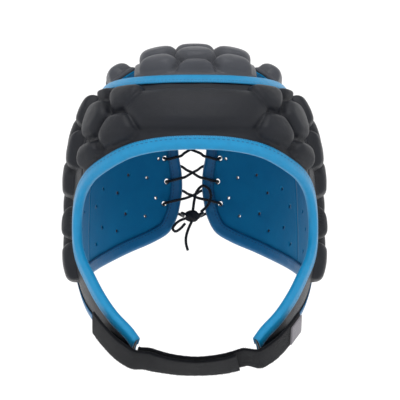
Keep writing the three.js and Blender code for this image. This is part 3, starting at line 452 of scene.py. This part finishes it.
# ---- meshes ----
def add_mesh(name, verts, faces, uv=None, flat=False):
    mesh = bpy.data.meshes.new(name)
    mesh.from_pydata((np.asarray(verts) * MM).tolist(), [], [list(f) for f in faces])
    if uv is not None:
        layer = mesh.uv_layers.new(name="cloth")
        index = np.empty(len(mesh.loops), dtype=np.int32)
        mesh.loops.foreach_get("vertex_index", index)
        layer.data.foreach_set("uv", np.asarray(uv, np.float32)[index].ravel())
    mesh.polygons.foreach_set("use_smooth", [not flat] * len(mesh.polygons))
    mesh.update()
    obj = bpy.data.objects.new(name, mesh)
    bpy.context.scene.collection.objects.link(obj)
    return obj


def quads_of_sheet(rows, wide):
    at = np.arange(rows * wide).reshape(rows, wide)
    n = rows * wide
    low = np.stack([at[:-1, :-1], at[1:, :-1], at[1:, 1:], at[:-1, 1:]], -1).reshape(-1, 4)
    high = low[:, ::-1] + n
    rim_faces = []
    loop = list(at[0, :-1]) + list(at[:-1, -1]) + list(at[-1, :0:-1]) + list(at[:0:-1, 0])
    for a, b in zip(loop, loop[1:] + loop[:1]):
        rim_faces.append((a, b, b + n, a + n))
    return np.vstack([low, high, np.array(rim_faces)])


def facing_out(verts, faces):
    a, b, c, d = (verts[faces[:, k]] for k in range(4))
    volume = (np.cross(b, c) * a).sum() + (np.cross(c, d) * a).sum()
    return faces if volume > 0 else faces[:, ::-1]


def sheet_mesh(name, form, grid, low, high, flip=False):
    rows, wide = grid.shape[:2]
    u, v = grid[..., 0], grid[..., 1]
    under = raised(form, u, v, np.broadcast_to(low, u.shape)).reshape(-1, 3)
    over = raised(form, u, v, np.broadcast_to(high, u.shape)).reshape(-1, 3)
    verts = np.vstack([under, over])
    uv = np.tile(grid.reshape(-1, 2), (2, 1))
    if flip:
        verts = verts * np.array([-1, 1, 1])
    return add_mesh(name, verts, facing_out(verts, quads_of_sheet(rows, wide)), uv)


def sweep_mesh(name, rings, uv_along, uv_across, flip=False):
    rings = np.asarray(rings)
    steps, sides = rings.shape[:2]
    verts = rings.reshape(-1, 3)
    if flip:
        verts = verts * np.array([-1, 1, 1])
    at = np.arange(steps * sides).reshape(steps, sides)
    nxt = np.roll(at, -1, axis=1)
    faces = np.stack([at[:-1], nxt[:-1], nxt[1:], at[1:]], -1).reshape(-1, 4)
    turned = facing_out(verts, faces)
    back = turned[0][0] != faces[0][0]
    caps = [list(at[0]), list(at[-1][::-1])]
    if not back:
        caps = [c[::-1] for c in caps]
    uv = np.broadcast_arrays(np.asarray(uv_along)[:, None], np.asarray(uv_across)[None])
    uv = np.stack(uv, -1).reshape(-1, 2)
    return add_mesh(name, verts, turned.tolist() + caps, uv)


def cut(target, cutter):
    bpy.context.view_layer.objects.active = target
    mod = target.modifiers.new("cut", "BOOLEAN")
    mod.operation = "DIFFERENCE"
    mod.solver = "MANIFOLD"
    mod.object = cutter
    bpy.ops.object.modifier_apply(modifier=mod.name)


def hole_cutters(name, holes, flip=False):
    """holes is a list of (u, v, diameter)."""
    sides = 12
    verts, faces = [], []
    for u, v, size in holes:
        turn = np.arange(sides) / sides * 2 * math.pi
        ring_u, ring_v = u + size / 2 * np.cos(turn), v + size / 2 * np.sin(turn)
        base = len(verts)
        for height in CUTTER_ENDS:
            verts.extend(raised(wrap_form, ring_u, ring_v, np.full(sides, height)))
        a = base + np.arange(sides)
        b = base + (np.arange(sides) + 1) % sides
        faces += [(i, j, j + sides, i + sides) for i, j in zip(a, b)]
        faces += [tuple(a[::-1]), tuple(a + sides)]
    verts = np.array(verts)
    if flip:
        verts = verts * np.array([-1, 1, 1])
    obj = add_mesh(name, verts, faces, flat=True)
    bpy.context.view_layer.objects.active = obj
    obj.select_set(True)
    bpy.ops.object.mode_set(mode="EDIT")
    bpy.ops.mesh.select_all(action="SELECT")
    bpy.ops.mesh.normals_make_consistent(inside=False)
    bpy.ops.object.mode_set(mode="OBJECT")
    obj.select_set(False)
    return obj


# ---- camera: level with the brow, a little to the left ----
# PX is the size of a pixel at the brow
PX, IMAGE_WIDE, BROW_AHEAD = 0.73, 400, 10
DISTANCE, YAW, SIDE_STEP, EYE_UP = 1150.0, math.radians(1.2), 4.0, -101.0
cam_data = bpy.data.cameras.new("camera")
cam = bpy.data.objects.new("camera", cam_data)
bpy.context.scene.collection.objects.link(cam)
cam_data.sensor_width = 36
cam_data.lens = cam_data.sensor_width * (DISTANCE + BROW_AHEAD) / PX / IMAGE_WIDE
cam_data.clip_start, cam_data.clip_end = 0.05, 20
c, s = math.cos(YAW), math.sin(YAW)
cam.location = (Vector((-DISTANCE * s + SIDE_STEP * c, -DISTANCE * c - SIDE_STEP * s, EYE_UP))) * MM
cam.rotation_mode = "QUATERNION"
cam.rotation_quaternion = Vector((s, c, 0)).to_track_quat("-Z", "Y")
bpy.context.scene.camera = cam

# ---- the lace ----
inside_lace = -(TAPE_GAP + TAPE_THICK + LACE / 2 + LACE_CLEAR)
outside_lace = WEB_OUT + TAPE_GAP + TAPE_THICK + LACE / 2 + LACE_CLEAR


def row_at(row):
    return EYELET_TOP - row * EYELET_PITCH


def laced_at(v):
    return float(np.interp(v, laced_rim[:, 1], laced_rim[:, 0]))


def by_edge(side, w, v, h):
    p = raised(wrap_form, laced_at(v) - w, v, h)
    return p * np.array([side, 1, 1])


def nape_at(z):
    """The middle of the nape at a height."""
    v = 0.0
    for _ in range(20):
        v += z - float(wrap_form(2 * QUARTER, v)[2])
    return wrap_form(2 * QUARTER, v)


knot_down = float(wrap_form(2 * QUARTER, row_at(EYELET_ROWS - 1) - KNOT_BELOW)[2])
knot_place = nape_at(knot_down) + np.array([0, -KNOT_IN, 0])
knot_place[0] = 0


def strand(side):
    """One half of the crossed lace, from its top eyelet down to the knot."""
    points, now = [], side
    for row in range(EYELET_ROWS):
        v = row_at(row)
        points.append(by_edge(now, EYELET_INSET, v, WEB_IN))
        for into, down, out in STRAND_OUTSIDE:
            down *= EYELET_PITCH
            points.append(by_edge(now, into * EYELET_INSET, v - down, outside_lace + out * LACE))
        if row == EYELET_ROWS - 1:
            break
        crossing = CROSS_OUT if side > 0 else CROSS_IN
        points.append(raised(wrap_form, 2 * QUARTER, v - CROSS_DOWN * EYELET_PITCH, crossing))
        now = -now
        for into, down, out in STRAND_INSIDE:
            down *= EYELET_PITCH
            points.append(by_edge(now, into * EYELET_INSET, v - down, inside_lace + out * LACE))
    beside = KNOT_SIZE[0] / 2 + KNOT_GAP
    points.append(knot_place + np.array([now * (beside + LACE), KNOT_SIZE[1] / 2, KNOT_SIZE[2] / 3]))
    points.append(knot_place + np.array([now * beside, 0, KNOT_SIZE[2] / 5]))
    return points


def hang(p):
    z = knot_down + p[1]
    return np.array([p[0], nape_at(z)[1] - p[2], z])


def lace_curve(name, points):
    line = stepped(smooth_points(points), LACE_STEP)
    data = bpy.data.curves.new(name, "CURVE")
    data.dimensions = "3D"
    data.bevel_depth = LACE / 2 * MM
    data.bevel_resolution = 3
    data.use_fill_caps = True
    spline = data.splines.new("POLY")
    spline.points.add(len(line) - 1)
    for point, p in zip(spline.points, line):
        point.co = (*(p * MM), 1)
    obj = bpy.data.objects.new(name, data)
    bpy.context.scene.collection.objects.link(obj)
    return obj, line


top = row_at(0)
into = STRAND_INSIDE[-1][0] * EYELET_INSET
bar = [
    by_edge(-1, into, top, inside_lace + LACE / 4),
    by_edge(-1, 0, top, inside_lace),
    raised(wrap_form, 2 * QUARTER, top, inside_lace),
    by_edge(1, 0, top, inside_lace),
    by_edge(1, into, top, inside_lace + LACE / 4),
]
crossed, crossed_line = lace_curve("lace_crossed_look", strand(-1)[::-1] + bar + strand(1))
loop_large, large_line = lace_curve("lace_large_loop_look", [hang(p) for p in BOW_LARGE])
loop_small, _ = lace_curve("lace_small_loop_look", [hang(p) for p in BOW_SMALL])
lace_end, _ = lace_curve("lace_end_look", [hang(p) for p in LACE_END])


def knot_mesh():
    rows, around = 22, 30
    verts, faces, uv = [], [], []
    for i in range(rows + 1):
        tilt = math.pi * i / rows
        for j in range(around):
            turn = 2 * math.pi * j / around
            n = np.array([math.sin(tilt) * math.cos(turn), math.sin(tilt) * math.sin(turn), math.cos(tilt)])
            wrap = 1 + 0.1 * math.cos(3 * turn + 5 * n[2]) * math.sin(tilt)
            verts.append(knot_place + n * np.array(KNOT_SIZE) / 2 * wrap * np.array(KNOT_FULLER))
            uv.append((j, i))
    for i in range(rows):
        for j in range(around):
            k = (j + 1) % around
            faces.append((i * around + j, (i + 1) * around + j, (i + 1) * around + k, i * around + k))
    return add_mesh("lace_knot_look", verts, faces, uv)


knot = knot_mesh()


# ---- materials ----
def linear(code):
    rgb = [int(code[i : i + 2], 16) / 255 for i in (0, 2, 4)]
    return tuple(x / 12.92 if x <= 0.04045 else ((x + 0.055) / 1.055) ** 2.4 for x in rgb) + (1.0,)


class Nodes:
    def __init__(self, name):
        self.mat = bpy.data.materials.new(name)
        self.mat.use_nodes = True
        self.tree = self.mat.node_tree
        self.shader = self.tree.nodes["Principled BSDF"]

    def add(self, kind, **props):
        node = self.tree.nodes.new(kind)
        for key, value in props.items():
            setattr(node, key, value)
        return node

    def link(self, a, b):
        self.tree.links.new(a, b)

    def math(self, op, a, b=None, c=None):
        node = self.add("ShaderNodeMath", operation=op)
        for i, x in enumerate((a, b, c)):
            if x is None:
                continue
            if isinstance(x, (int, float)):
                node.inputs[i].default_value = x
            else:
                self.link(x, node.inputs[i])
        return node.outputs[0]

    def mix(self, share, a, b):
        node = self.add("ShaderNodeMix", data_type="RGBA")
        for socket, x in ((node.inputs[0], share), (node.inputs[6], a), (node.inputs[7], b)):
            if isinstance(x, (int, float, tuple)):
                socket.default_value = x
            else:
                self.link(x, socket)
        return node.outputs[2]

    def noise(self, scale, detail):
        node = self.add("ShaderNodeTexNoise")
        node.inputs["Scale"].default_value = scale
        node.inputs["Detail"].default_value = detail
        self.link(self.place, node.inputs["Vector"])
        return node.outputs["Fac"]

    def bump(self, height, distance, strength, before=None):
        node = self.add("ShaderNodeBump")
        node.inputs["Distance"].default_value = distance
        node.inputs["Strength"].default_value = strength
        self.link(height, node.inputs["Height"])
        if before:
            self.link(before, node.inputs["Normal"])
        return node.outputs["Normal"]

    def start(self, rough, sheen, specular):
        coords = self.add("ShaderNodeTexCoord")
        self.place = coords.outputs["Object"]
        self.uv = coords.outputs["UV"]
        parts = self.add("ShaderNodeSeparateXYZ")
        self.link(self.uv, parts.inputs[0])
        self.u, self.v = parts.outputs[0], parts.outputs[1]
        self.shader.inputs["Roughness"].default_value = rough
        self.shader.inputs["Sheen Weight"].default_value = sheen
        self.shader.inputs["Sheen Roughness"].default_value = 0.4
        self.shader.inputs["Specular IOR Level"].default_value = specular

    def wave(self, value, period):
        return self.math("SINE", self.math("MULTIPLY", value, 2 * math.pi / period))


# A cloth's numbers are its thread in mm, roughness, sheen, specular and the relief of its weave in metres
def knit(name, base, light, dark, thread, rough, sheen, specular, relief=0.00012):
    n = Nodes(name)
    n.start(rough, sheen, specular)
    weave = n.math("MULTIPLY", n.wave(n.u, thread), n.wave(n.v, thread))
    broad = n.noise(60, 4)
    fine = n.noise(900, 2)
    tone = n.mix(n.math("MULTIPLY", broad, 0.8), linear(base), linear(light))
    shade = n.math("MULTIPLY_ADD", weave, 0.22, 0.2)
    tone = n.mix(n.math("MAXIMUM", shade, 0.0), tone, linear(dark))
    n.link(tone, n.shader.inputs["Base Color"])
    height = n.math("ADD", n.math("MULTIPLY", weave, 0.4), fine)
    crease = n.bump(n.noise(140, 3), 0.0012, 0.25)
    n.link(n.bump(height, relief, 0.55, crease), n.shader.inputs["Normal"])
    return n.mat


def edge_tape(name, base, dark, wide):
    """u runs along the tape and v in from its fold, both in mm, so the stitches follow it."""
    rib_pitch, tooth_pitch, tooth_deep = 0.85, 1.5, 0.9
    stitch_pitch, stitch_share, stitch_in, stitch_half = 3.1, 0.55, 2.1, 0.36
    n = Nodes(name)
    n.start(0.45, 0.12, 0.35)
    across = n.math("ABSOLUTE", n.v)
    rib = n.wave(n.u, rib_pitch)
    step = n.math("FRACT", n.math("DIVIDE", n.u, stitch_pitch))
    dash = n.math("LESS_THAN", step, stitch_share)
    near = n.math("ABSOLUTE", n.math("SUBTRACT", across, wide - stitch_in))
    near = n.math("LESS_THAN", near, stitch_half)
    stitch = n.math("MULTIPLY", dash, near)
    border = n.math("GREATER_THAN", across, wide - tooth_deep)
    serration = n.math("MULTIPLY", border, n.math("GREATER_THAN", n.wave(n.u, tooth_pitch), 0.1))
    tone = n.mix(n.math("MULTIPLY", n.noise(220, 3), 0.35), linear(base), linear(dark))
    tone = n.mix(n.math("MULTIPLY", stitch, 0.75), tone, linear(dark))
    tone = n.mix(n.math("MULTIPLY", serration, 0.6), tone, linear(dark))
    n.link(tone, n.shader.inputs["Base Color"])
    height = n.math("ADD", n.math("MULTIPLY", rib, 0.12), n.math("MULTIPLY", stitch, -1.2))
    height = n.math("ADD", height, n.math("MULTIPLY", serration, -0.5))
    pucker = n.bump(n.noise(160, 2), 0.0012, 0.35)
    n.link(n.bump(height, 0.0003, 0.7, pucker), n.shader.inputs["Normal"])
    return n.mat


shell = knit("shell knit", "0d1017", "171b25", "05060a", 0.9, 0.42, 0.03, 0.26, 0.0002)
crown_shell = knit("crown knit", "33363d", "45474f", "191b20", 0.9, 0.42, 0.08, 0.4, 0.0002)
lining_cloth = knit("lining cloth", "006b9c", "0582b2", "00527c", 0.8, 0.8, 0.15, 0.2, 0.00008)
face_binding = edge_tape("face binding", "0088bb", "00547f", FACE_TAPE)
top_binding = edge_tape("band binding", "0088bb", "00547f", TOP_TAPE)
# The neck binding is the same tape as the face and band binding, in a darker blue: painted shade for the
# shadow at the neck
neck_binding_painted_shade = edge_tape("neck binding painted shade", "00699c", "003f66", NECK_TAPE)
strap_pile = knit("strap pile", "0c0d11", "15171d", "050608", 0.7, 0.95, 0.12, 0.1, 0.0005)
tab_cloth = knit("tab cloth", "77747a", "8f8c92", "4a484d", 0.8, 0.8, 0.3, 0.2)


def braid():
    n = Nodes("lace braid")
    n.start(0.7, 0.2, 0.3)
    wave = n.add("ShaderNodeTexWave", wave_type="BANDS", bands_direction="DIAGONAL")
    wave.inputs["Scale"].default_value = 260
    n.link(n.place, wave.inputs["Vector"])
    n.link(n.mix(wave.outputs["Fac"], linear("08090d"), linear("1c1f28")), n.shader.inputs["Base Color"])
    n.link(n.bump(wave.outputs["Fac"], 0.0002, 0.6), n.shader.inputs["Normal"])
    return n.mat


lace_braid = braid()


def dress(obj, nodes, slot, material, *more):
    obj.data.materials.clear()
    obj.data.materials.append(material)
    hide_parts(*nodes)
    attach(obj, "root")
    for declare in more:
        declare(obj)


# ---- the panels ----
face_keep, top_keep, neck_keep = FACE_TAPE + TAPE_CLEAR, TOP_TAPE + TAPE_CLEAR, NECK_TAPE + TAPE_CLEAR
rng = np.random.default_rng(7)


def stretched():
    """Returns a step that leaves a lining panel as it is."""
    return lambda o: o


def folded(line, wide, *rests_on):
    """Returns a step that leaves a binding as it is."""
    return lambda o: o


def web(grid, border):
    """The foam web, rolled over towards its edges and a little uneven."""
    u, v = grid[..., 0], grid[..., 1]
    e = np.clip(to_border(border, u, v) / WEB_EDGE, 0, 1)
    wave = 0.12 * np.sin(u / 5.3 + 1.3 * np.sin(v / 7.1)) * np.sin(v / 4.7)
    return WEB_IN + (WEB_OUT - WEB_IN) * (0.35 + 0.65 * np.sqrt(1 - (1 - e) ** 2)) + wave * e


def padded_mesh(name, form, panel, keeps, lattice, flip=False, skip=None, pad=None, both=False):
    grid = coons(panel, SHELL_STEP)
    border = border_of(panel, keeps)
    u, v = grid[..., 0], grid[..., 1]
    height = web(grid, border)
    cells = cells_in(border, *lattice, skip)
    if both:
        cells = cells + [mirrored(cell)[::-1] for cell in cells]
    for cell in cells:
        rise = CELL_RISE * (0.97 + 0.05 * rng.random())
        over = pillow_height(cell, u, v, rise + CELL_SUNK, CELL_EDGE)
        height = np.maximum(height, WEB_OUT - CELL_SUNK + over)
    if pad is not None:
        over = pillow_height(pad, u, v, PAD_RISE + PAD_SUNK, PAD_EDGE)
        height = np.maximum(height, WEB_OUT - PAD_SUNK + over)
    return sheet_mesh(name, form, grid, WEB_IN, height, flip)


def lining_mesh(name, form, panel, flip=False):
    grid = coons(panel, LINING_STEP)
    u, v = grid[..., 0], grid[..., 1]
    soft = 0.1 * np.sin(u / 6.1 + np.sin(v / 8.3)) * np.sin(v / 5.9)
    return sheet_mesh(name, form, grid, 0.1 + soft, LINING, flip)


def vent_holes(panel, keeps, lattice, margin, skip=None):
    border = border_of(panel, keeps)
    holes = []
    for centre in lattice_of(border, *lattice):
        for side in (-1, 1):
            p = centre + np.array([side * CELL_WIDE * 2 / 3, 0])
            if skip and skip(p):
                continue
            away = float(to_border(border, p[:1], p[1:])[0])
            if inside(border, p) and away > margin:
                holes.append((p[0], p[1], VENT_HOLE))
    return holes


front_keeps = (face_keep, top_keep, SEAM_INSET, SEAM_INSET)
side_keeps = (neck_keep, top_keep, face_keep, neck_keep)
back_keeps = (neck_keep, SEAM_INSET, SEAM_INSET, neck_keep)
front_lattice = (FRONT_COLUMN, FRONT_ROW, CELL_TALL)
back_lattice = (BACK_COLUMN, BACK_ROW, CELL_TALL)
half_pad = np.array([(a * QUARTER, b * UP) for a, b in BROW_PAD])
brow_pad = np.vstack([half_pad, mirrored(half_pad)[::-1][1:-1]])

front = padded_mesh(
    "front_panel_look", wrap_form, front_edges, front_keeps, front_lattice,
    skip=lambda p: p[0] < FRONT_COLUMN - 1, pad=brow_pad, both=True,
)
front_inside = lining_mesh("front_lining_look", wrap_form, front_edges)
brow_holes = vent_holes(front_edges, front_keeps, front_lattice, VENT_CLEAR, lambda p: p[0] < BROW_VENTS_FROM)
brow_holes += [(-u, v, size) for u, v, size in brow_holes]
side_holes = vent_holes(side_edges, side_keeps, front_lattice, VENT_CLEAR, lambda p: p[1] < VENTS_DOWN)
back_holes = vent_holes(back_edges, back_keeps, back_lattice, BACK_VENT_CLEAR)
eyelet_holes = [(laced_at(row_at(r)) - EYELET_INSET, row_at(r), EYELET_HOLE) for r in range(EYELET_ROWS)]
back_holes = [
    h for h in back_holes if min(math.hypot(h[0] - e[0], h[1] - e[1]) for e in eyelet_holes) > EYELET_CLEAR
]


def perforate(targets, holes, flip=False):
    cutter = hole_cutters("cutter", holes, flip)
    for target in targets:
        cut(target, cutter)
    bpy.data.objects.remove(cutter, do_unlink=True)


perforate([front, front_inside], brow_holes)


def soft(obj):
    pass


dress(front, ["front_panel"], "shell", shell, soft)
dress(front_inside, ["front_lining"], "lining", lining_cloth, stretched())

for side, flip in (("right", False), ("left", True)):
    cheek = padded_mesh(
        f"side_panel_{side}_look", wrap_form, side_edges, side_keeps, front_lattice, flip,
        skip=lambda p: p[1] < CELLS_DOWN,
    )
    cheek_inside = lining_mesh(f"side_lining_{side}_look", wrap_form, side_edges, flip)
    perforate([cheek, cheek_inside], side_holes, flip)
    dress(cheek, [f"side_panel_{side}"], "shell", shell, soft)
    dress(
        cheek_inside, [f"side_lining_{side}"], "lining", lining_cloth,
        stretched(),
    )
    back = padded_mesh(f"back_panel_{side}_look", wrap_form, back_edges, back_keeps, back_lattice, flip)
    back_inside = lining_mesh(f"back_lining_{side}_look", wrap_form, back_edges, flip)
    perforate([back, back_inside], back_holes + eyelet_holes, flip)
    dress(back, [f"back_panel_{side}"], "shell", shell, soft)
    dress(
        back_inside, [f"back_lining_{side}"], "lining", lining_cloth,
        stretched(),
    )
    wing = padded_mesh(
        f"crown_wing_{side}_look", crown_form, wing_edges, (SEAM_INSET,) * 4,
        (WING_COLUMN, 0.0, CELL_TALL), flip,
    )
    dress(wing, [f"crown_wing_{side}"], "shell", crown_shell, soft)
    wing_inside = lining_mesh(f"wing_lining_{side}_look", crown_form, wing_edges, flip)
    dress(
        wing_inside, [f"wing_lining_{side}"], "lining", lining_cloth,
        stretched(),
    )

crown = padded_mesh(
    "crown_panel_look", crown_form, crown_edges, (SEAM_INSET, SEAM_INSET, CROWN_FLANGE, CROWN_FLANGE),
    (0.0, CROWN_ROW, CROWN_TALL),
)
dress(crown, ["crown_panel"], "shell", crown_shell, soft)
dress(
    lining_mesh("crown_lining_look", crown_form, crown_edges), ["crown_lining"], "lining", lining_cloth,
    stretched(),
)


# ---- the bound edges ----
FOLD_GAP, FOLD_THICK, FOLD_AT, FOLD_OUTER, FOLD_INNER, LEG_EDGE = 0.35, 0.85, 0.6, 2.6, 1.8, 0.25


def tape_mesh(name, line, inner, wide, flip=False):
    """A U section folded over an edge; inner is the side of the line that the legs lie on."""
    line = stepped(line, TAPE_STEP)
    way = np.gradient(line, axis=0)
    way /= np.linalg.norm(way, axis=1, keepdims=True)
    way = np.stack([-way[:, 1], way[:, 0]], -1) * inner
    low, high, thick = -FOLD_GAP, WEB_OUT + FOLD_GAP, FOLD_THICK
    middle, half = (low + high) / 2, (high - low) / 2
    legs = np.linspace(wide, FOLD_AT, 5)
    turn = np.linspace(math.pi / 2, -math.pi / 2, 9)
    outer = [(w, high + thick) for w in legs[:-1]]
    outer += [(FOLD_AT - FOLD_OUTER * math.cos(a), middle + (half + thick) * math.sin(a)) for a in turn]
    outer += [(w, low - thick) for w in legs[::-1][1:]]
    inner_side = [(w, low) for w in legs[:-1]]
    inner_side += [(FOLD_AT - FOLD_INNER * math.cos(a), middle + half * math.sin(a)) for a in turn[::-1]]
    inner_side += [(w, high) for w in legs[::-1][1:]]
    edge = wide + LEG_EDGE
    section = outer + [(edge, low - thick / 2)] + inner_side + [(edge, high + thick / 2)]
    across = [max(w, 0) for w, _ in section]
    rings = []
    for w, h in section:
        u, v = line[:, 0] + way[:, 0] * w, line[:, 1] + way[:, 1] * w
        rings.append(raised(wrap_form, u, v, np.full(len(line), h)))
    far = np.concatenate([[0], np.cumsum(np.linalg.norm(np.diff(line, axis=0), axis=1))])
    return sweep_mesh(name, np.stack(rings, 1), far, across, flip)


band_line = top_line(-(BACK_SEAM - SEAM_HALF), BACK_SEAM - SEAM_HALF)
dress(
    tape_mesh("band_top_tape_look", band_line, -1, TOP_TAPE), ["band_top_tape"], "tape", top_binding,
    folded(band_line, TOP_TAPE, "front_panel", "side_panel_right", "side_panel_left"),
)
face_line = whole(face_rim)
dress(
    tape_mesh("face_tape_look", face_line, 1, FACE_TAPE), ["face_tape"], "tape", face_binding,
    folded(face_line, FACE_TAPE, "front_panel", "side_panel_right", "side_panel_left"),
)
for side, flip in (("right", False), ("left", True)):
    # The neck tapes take the binding blue darkened as painted shade
    neck = tape_mesh(f"neck_tape_{side}_look", neck_rim, 1, NECK_TAPE, flip)
    dress(
        neck, [f"neck_tape_{side}"], "tape", neck_binding_painted_shade,
        folded(neck_rim, NECK_TAPE, f"side_panel_{side}", f"back_panel_{side}"),
    )

# ---- the chin strap ----
STRAP_WIDE, STRAP_THICK, STRAP_GAP, FLAP_LIFT = 24.0, 2.0, 0.9, 3.2
LAP_FULL, LAP_START, OUTER_REACH, INNER_REACH = 0.392, 0.518, 0.337, 0.482
TAB_WIDE, TAB_THICK, TAB_GAP = 19.0, 1.2, 0.4
# Points across one face of the strap's section, and the fibres' size
STRAP_SIDE = 16
FIBRE_THICK, FIBRE_ROOT, FIBRE_SHORT, FIBRE_LONG, FIBRE_SPREAD = 0.09, 0.3, 0.5, 1.5, 0.45


def on_flap(side):
    t = np.clip((abs(side) - LAP_FULL) / (LAP_START - LAP_FULL), 0, 1)
    return t * t * (3 - 2 * t)


def outer_at(side):
    return FLAP_LIFT * on_flap(side)


def inner_at(side):
    return outer_at(side) - (STRAP_THICK + STRAP_GAP) * (1 - on_flap(max(side, 0)))


def strap_route(reach, turned=False):
    rows = [(-a, b, c2, d) for a, b, c2, d in STRAP_ROUTE] + STRAP_ROUTE[::-1][1:]
    kept = [r for r in rows if r[0] < reach]
    last, following = np.array(kept[-1], float), np.array(rows[len(kept)], float)
    t = (reach - last[0]) / (following[0] - last[0])
    kept.append(tuple(last + (following - last) * t))
    return [(-a, b, c2, d) for a, b, c2, d in kept] if turned else kept


def strap_mesh(name, route, wide, thick, out_at):
    places = [(a * HALF_WIDTH, -b * FRONT, c2 * UP, d) for a, b, c2, d in route]
    line = smooth_points([p[:3] for p in places])
    lean = np.interp(np.linspace(0, len(places) - 1, len(line)), range(len(places)), [p[3] for p in places])
    line = stepped(np.column_stack([line, lean]), STRAP_STEP)
    rings = []
    for i, row in enumerate(line):
        way = line[min(i + 1, len(line) - 1), :3] - line[max(i - 1, 0), :3]
        way /= np.linalg.norm(way)
        a = math.radians(row[3])
        across = np.array([0, -math.cos(a), math.sin(a)])
        across -= way * (across @ way)
        across /= np.linalg.norm(across)
        off = np.cross(across, way)
        if off[2] > 0:
            off = -off
        out = out_at(row[0] / HALF_WIDTH)
        ring = []
        for w in np.linspace(-1, 1, STRAP_SIDE):
            edge = 1 - 0.35 * abs(w) ** 8
            ring.append((w, -edge))
        ring += [(w, -h) for w, h in ring[::-1]]
        points = []
        for w, h in ring:
            ruffle = 0.1 * math.sin(i * 1.9 + 7 * w) * (abs(w) > 0.8)
            points.append(row[:3] + across * (w * wide / 2 + ruffle) + off * (out + h * thick / 2))
        rings.append(points)
    far = np.concatenate([[0], np.cumsum(np.linalg.norm(np.diff(line[:, :3], axis=0), axis=1))])
    widths = [w * wide / 2 for w, _ in ring]
    return sweep_mesh(name, rings, far, widths), line


strap_left, left_line = strap_mesh(
    "chin_strap_left_look", strap_route(OUTER_REACH), STRAP_WIDE, STRAP_THICK, outer_at
)
strap_right, right_line = strap_mesh(
    "chin_strap_right_look", strap_route(INNER_REACH, True), STRAP_WIDE, STRAP_THICK, inner_at
)
tab, tab_line = strap_mesh(
    "strap_tab_look", STRAP_ROUTE[:2], TAB_WIDE, TAB_THICK,
    lambda side: FLAP_LIFT + (STRAP_THICK + TAB_THICK) / 2 + TAB_GAP,
)


def with_fibres(strap, count):
    """Loose fibres of the pile along the strap's long edges."""
    mesh = strap.data
    points = np.array([v.co for v in mesh.vertices]) / MM
    ring = 2 * STRAP_SIDE
    steps = len(points) // ring
    rings = points.reshape(steps, ring, 3)
    verts, faces = [], []
    for _ in range(count):
        i = rng.integers(2, steps - 2)
        edge = rng.choice([0, STRAP_SIDE - 1, STRAP_SIDE, ring - 1])
        middle = rings[i].mean(0)
        start = rings[i, edge] + (rings[i + 1, edge] - rings[i, edge]) * rng.random()
        way = start - middle
        way /= np.linalg.norm(way)
        way += rng.normal(0, FIBRE_SPREAD, 3)
        way /= np.linalg.norm(way)
        side = np.cross(way, rng.normal(0, 1, 3))
        side *= FIBRE_THICK / np.linalg.norm(side)
        up = np.cross(way, side)
        up *= FIBRE_THICK / np.linalg.norm(up)
        tip = start + way * rng.uniform(FIBRE_SHORT, FIBRE_LONG)
        root = start - way * FIBRE_ROOT
        base = len(verts)
        verts += [root + side, root - side, root + up, tip]
        faces += [(base, base + 1, base + 3), (base + 1, base + 2, base + 3), (base + 2, base, base + 3)]
        faces += [(base, base + 2, base + 1)]
    return add_mesh(strap.name + "_fibres", verts, faces, flat=True)


def strip(wide, line, held, rests_on, *with_pieces):
    """Returns a step that leaves a strip of webbing as it is."""
    return lambda o: o


for strap, line, side, count in (
    (strap_left, left_line, "left", 1500),
    (strap_right, right_line, "right", 900),
):
    node = f"chin_strap_{side}"
    fibres = with_fibres(strap, count)
    dress(fibres, [node], "strap", strap_pile)
    dress(strap, [node], "strap", strap_pile, strip(STRAP_WIDE, line, "hung", [f"side_panel_{side}"], fibres))
dress(tab, ["strap_tab"], "tab", tab_cloth, strip(TAB_WIDE, tab_line, "laid", ["chin_strap_left"]))

for obj, node in (
    (crossed, "lace_crossed"),
    (loop_large, "lace_loop_large"),
    (loop_small, "lace_loop_small"),
    (lace_end, "lace_end"),
    (knot, "lace_knot"),
):
    dress(obj, [node], "lace", lace_braid)


# ---- stage, light ----
def backdrop():
    """A round sweep of pale paper, the same from every side."""
    floor = -320
    profile = [(1900, floor), (2200, -270), (2500, -100), (2700, 250), (2800, 800), (2800, 3500)]
    sides = 48
    turn = np.arange(sides) / sides * 2 * math.pi
    verts = [(0, 0, floor)]
    for r, z in profile:
        verts += [(r * math.cos(a), r * math.sin(a), z) for a in turn]
    faces = [(0, 1 + k, 1 + (k + 1) % sides) for k in range(sides)]
    for i in range(len(profile) - 1):
        for k in range(sides):
            j = (k + 1) % sides
            low, high = 1 + i * sides, 1 + (i + 1) * sides
            faces.append((low + k, high + k, high + j, low + j))
    obj = add_mesh("backdrop", verts, faces)
    mat = bpy.data.materials.new("backdrop paper")
    mat.use_nodes = True
    shader = mat.node_tree.nodes["Principled BSDF"]
    shader.inputs["Base Color"].default_value = (0.4, 0.4, 0.4, 1)
    shader.inputs["Roughness"].default_value = 0.9
    shader.inputs["Emission Color"].default_value = (1, 1, 1, 1)
    shader.inputs["Emission Strength"].default_value = 0.7
    obj.data.materials.append(mat)


backdrop()


def softbox(name, place, size, power, target=(0, 0, -0.1)):
    data = bpy.data.lights.new(name, "AREA")
    data.shape = "RECTANGLE"
    data.size, data.size_y = size
    data.energy = power
    obj = bpy.data.objects.new(name, data)
    bpy.context.scene.collection.objects.link(obj)
    obj.location = place
    obj.rotation_mode = "QUATERNION"
    obj.rotation_quaternion = (Vector(target) - Vector(place)).to_track_quat("-Z", "Y")


softbox("top softbox", (0.0, -0.35, 1.25), (1.0, 0.8), 9)
softbox("left softbox", (-1.1, -0.9, 0.15), (0.6, 1.1), 1.6)
softbox("right softbox", (1.1, -0.9, 0.15), (0.6, 1.1), 1.6)
softbox("front fill", (0.0, -1.6, 0.2), (0.9, 0.6), 0.8)

world = bpy.data.worlds.new("studio")
bpy.context.scene.world = world
world.use_nodes = True
world.node_tree.nodes["Background"].inputs[0].default_value = (1, 1, 1, 1)
world.node_tree.nodes["Background"].inputs[1].default_value = 0.3
bpy.context.scene.view_settings.view_transform = "Standard"
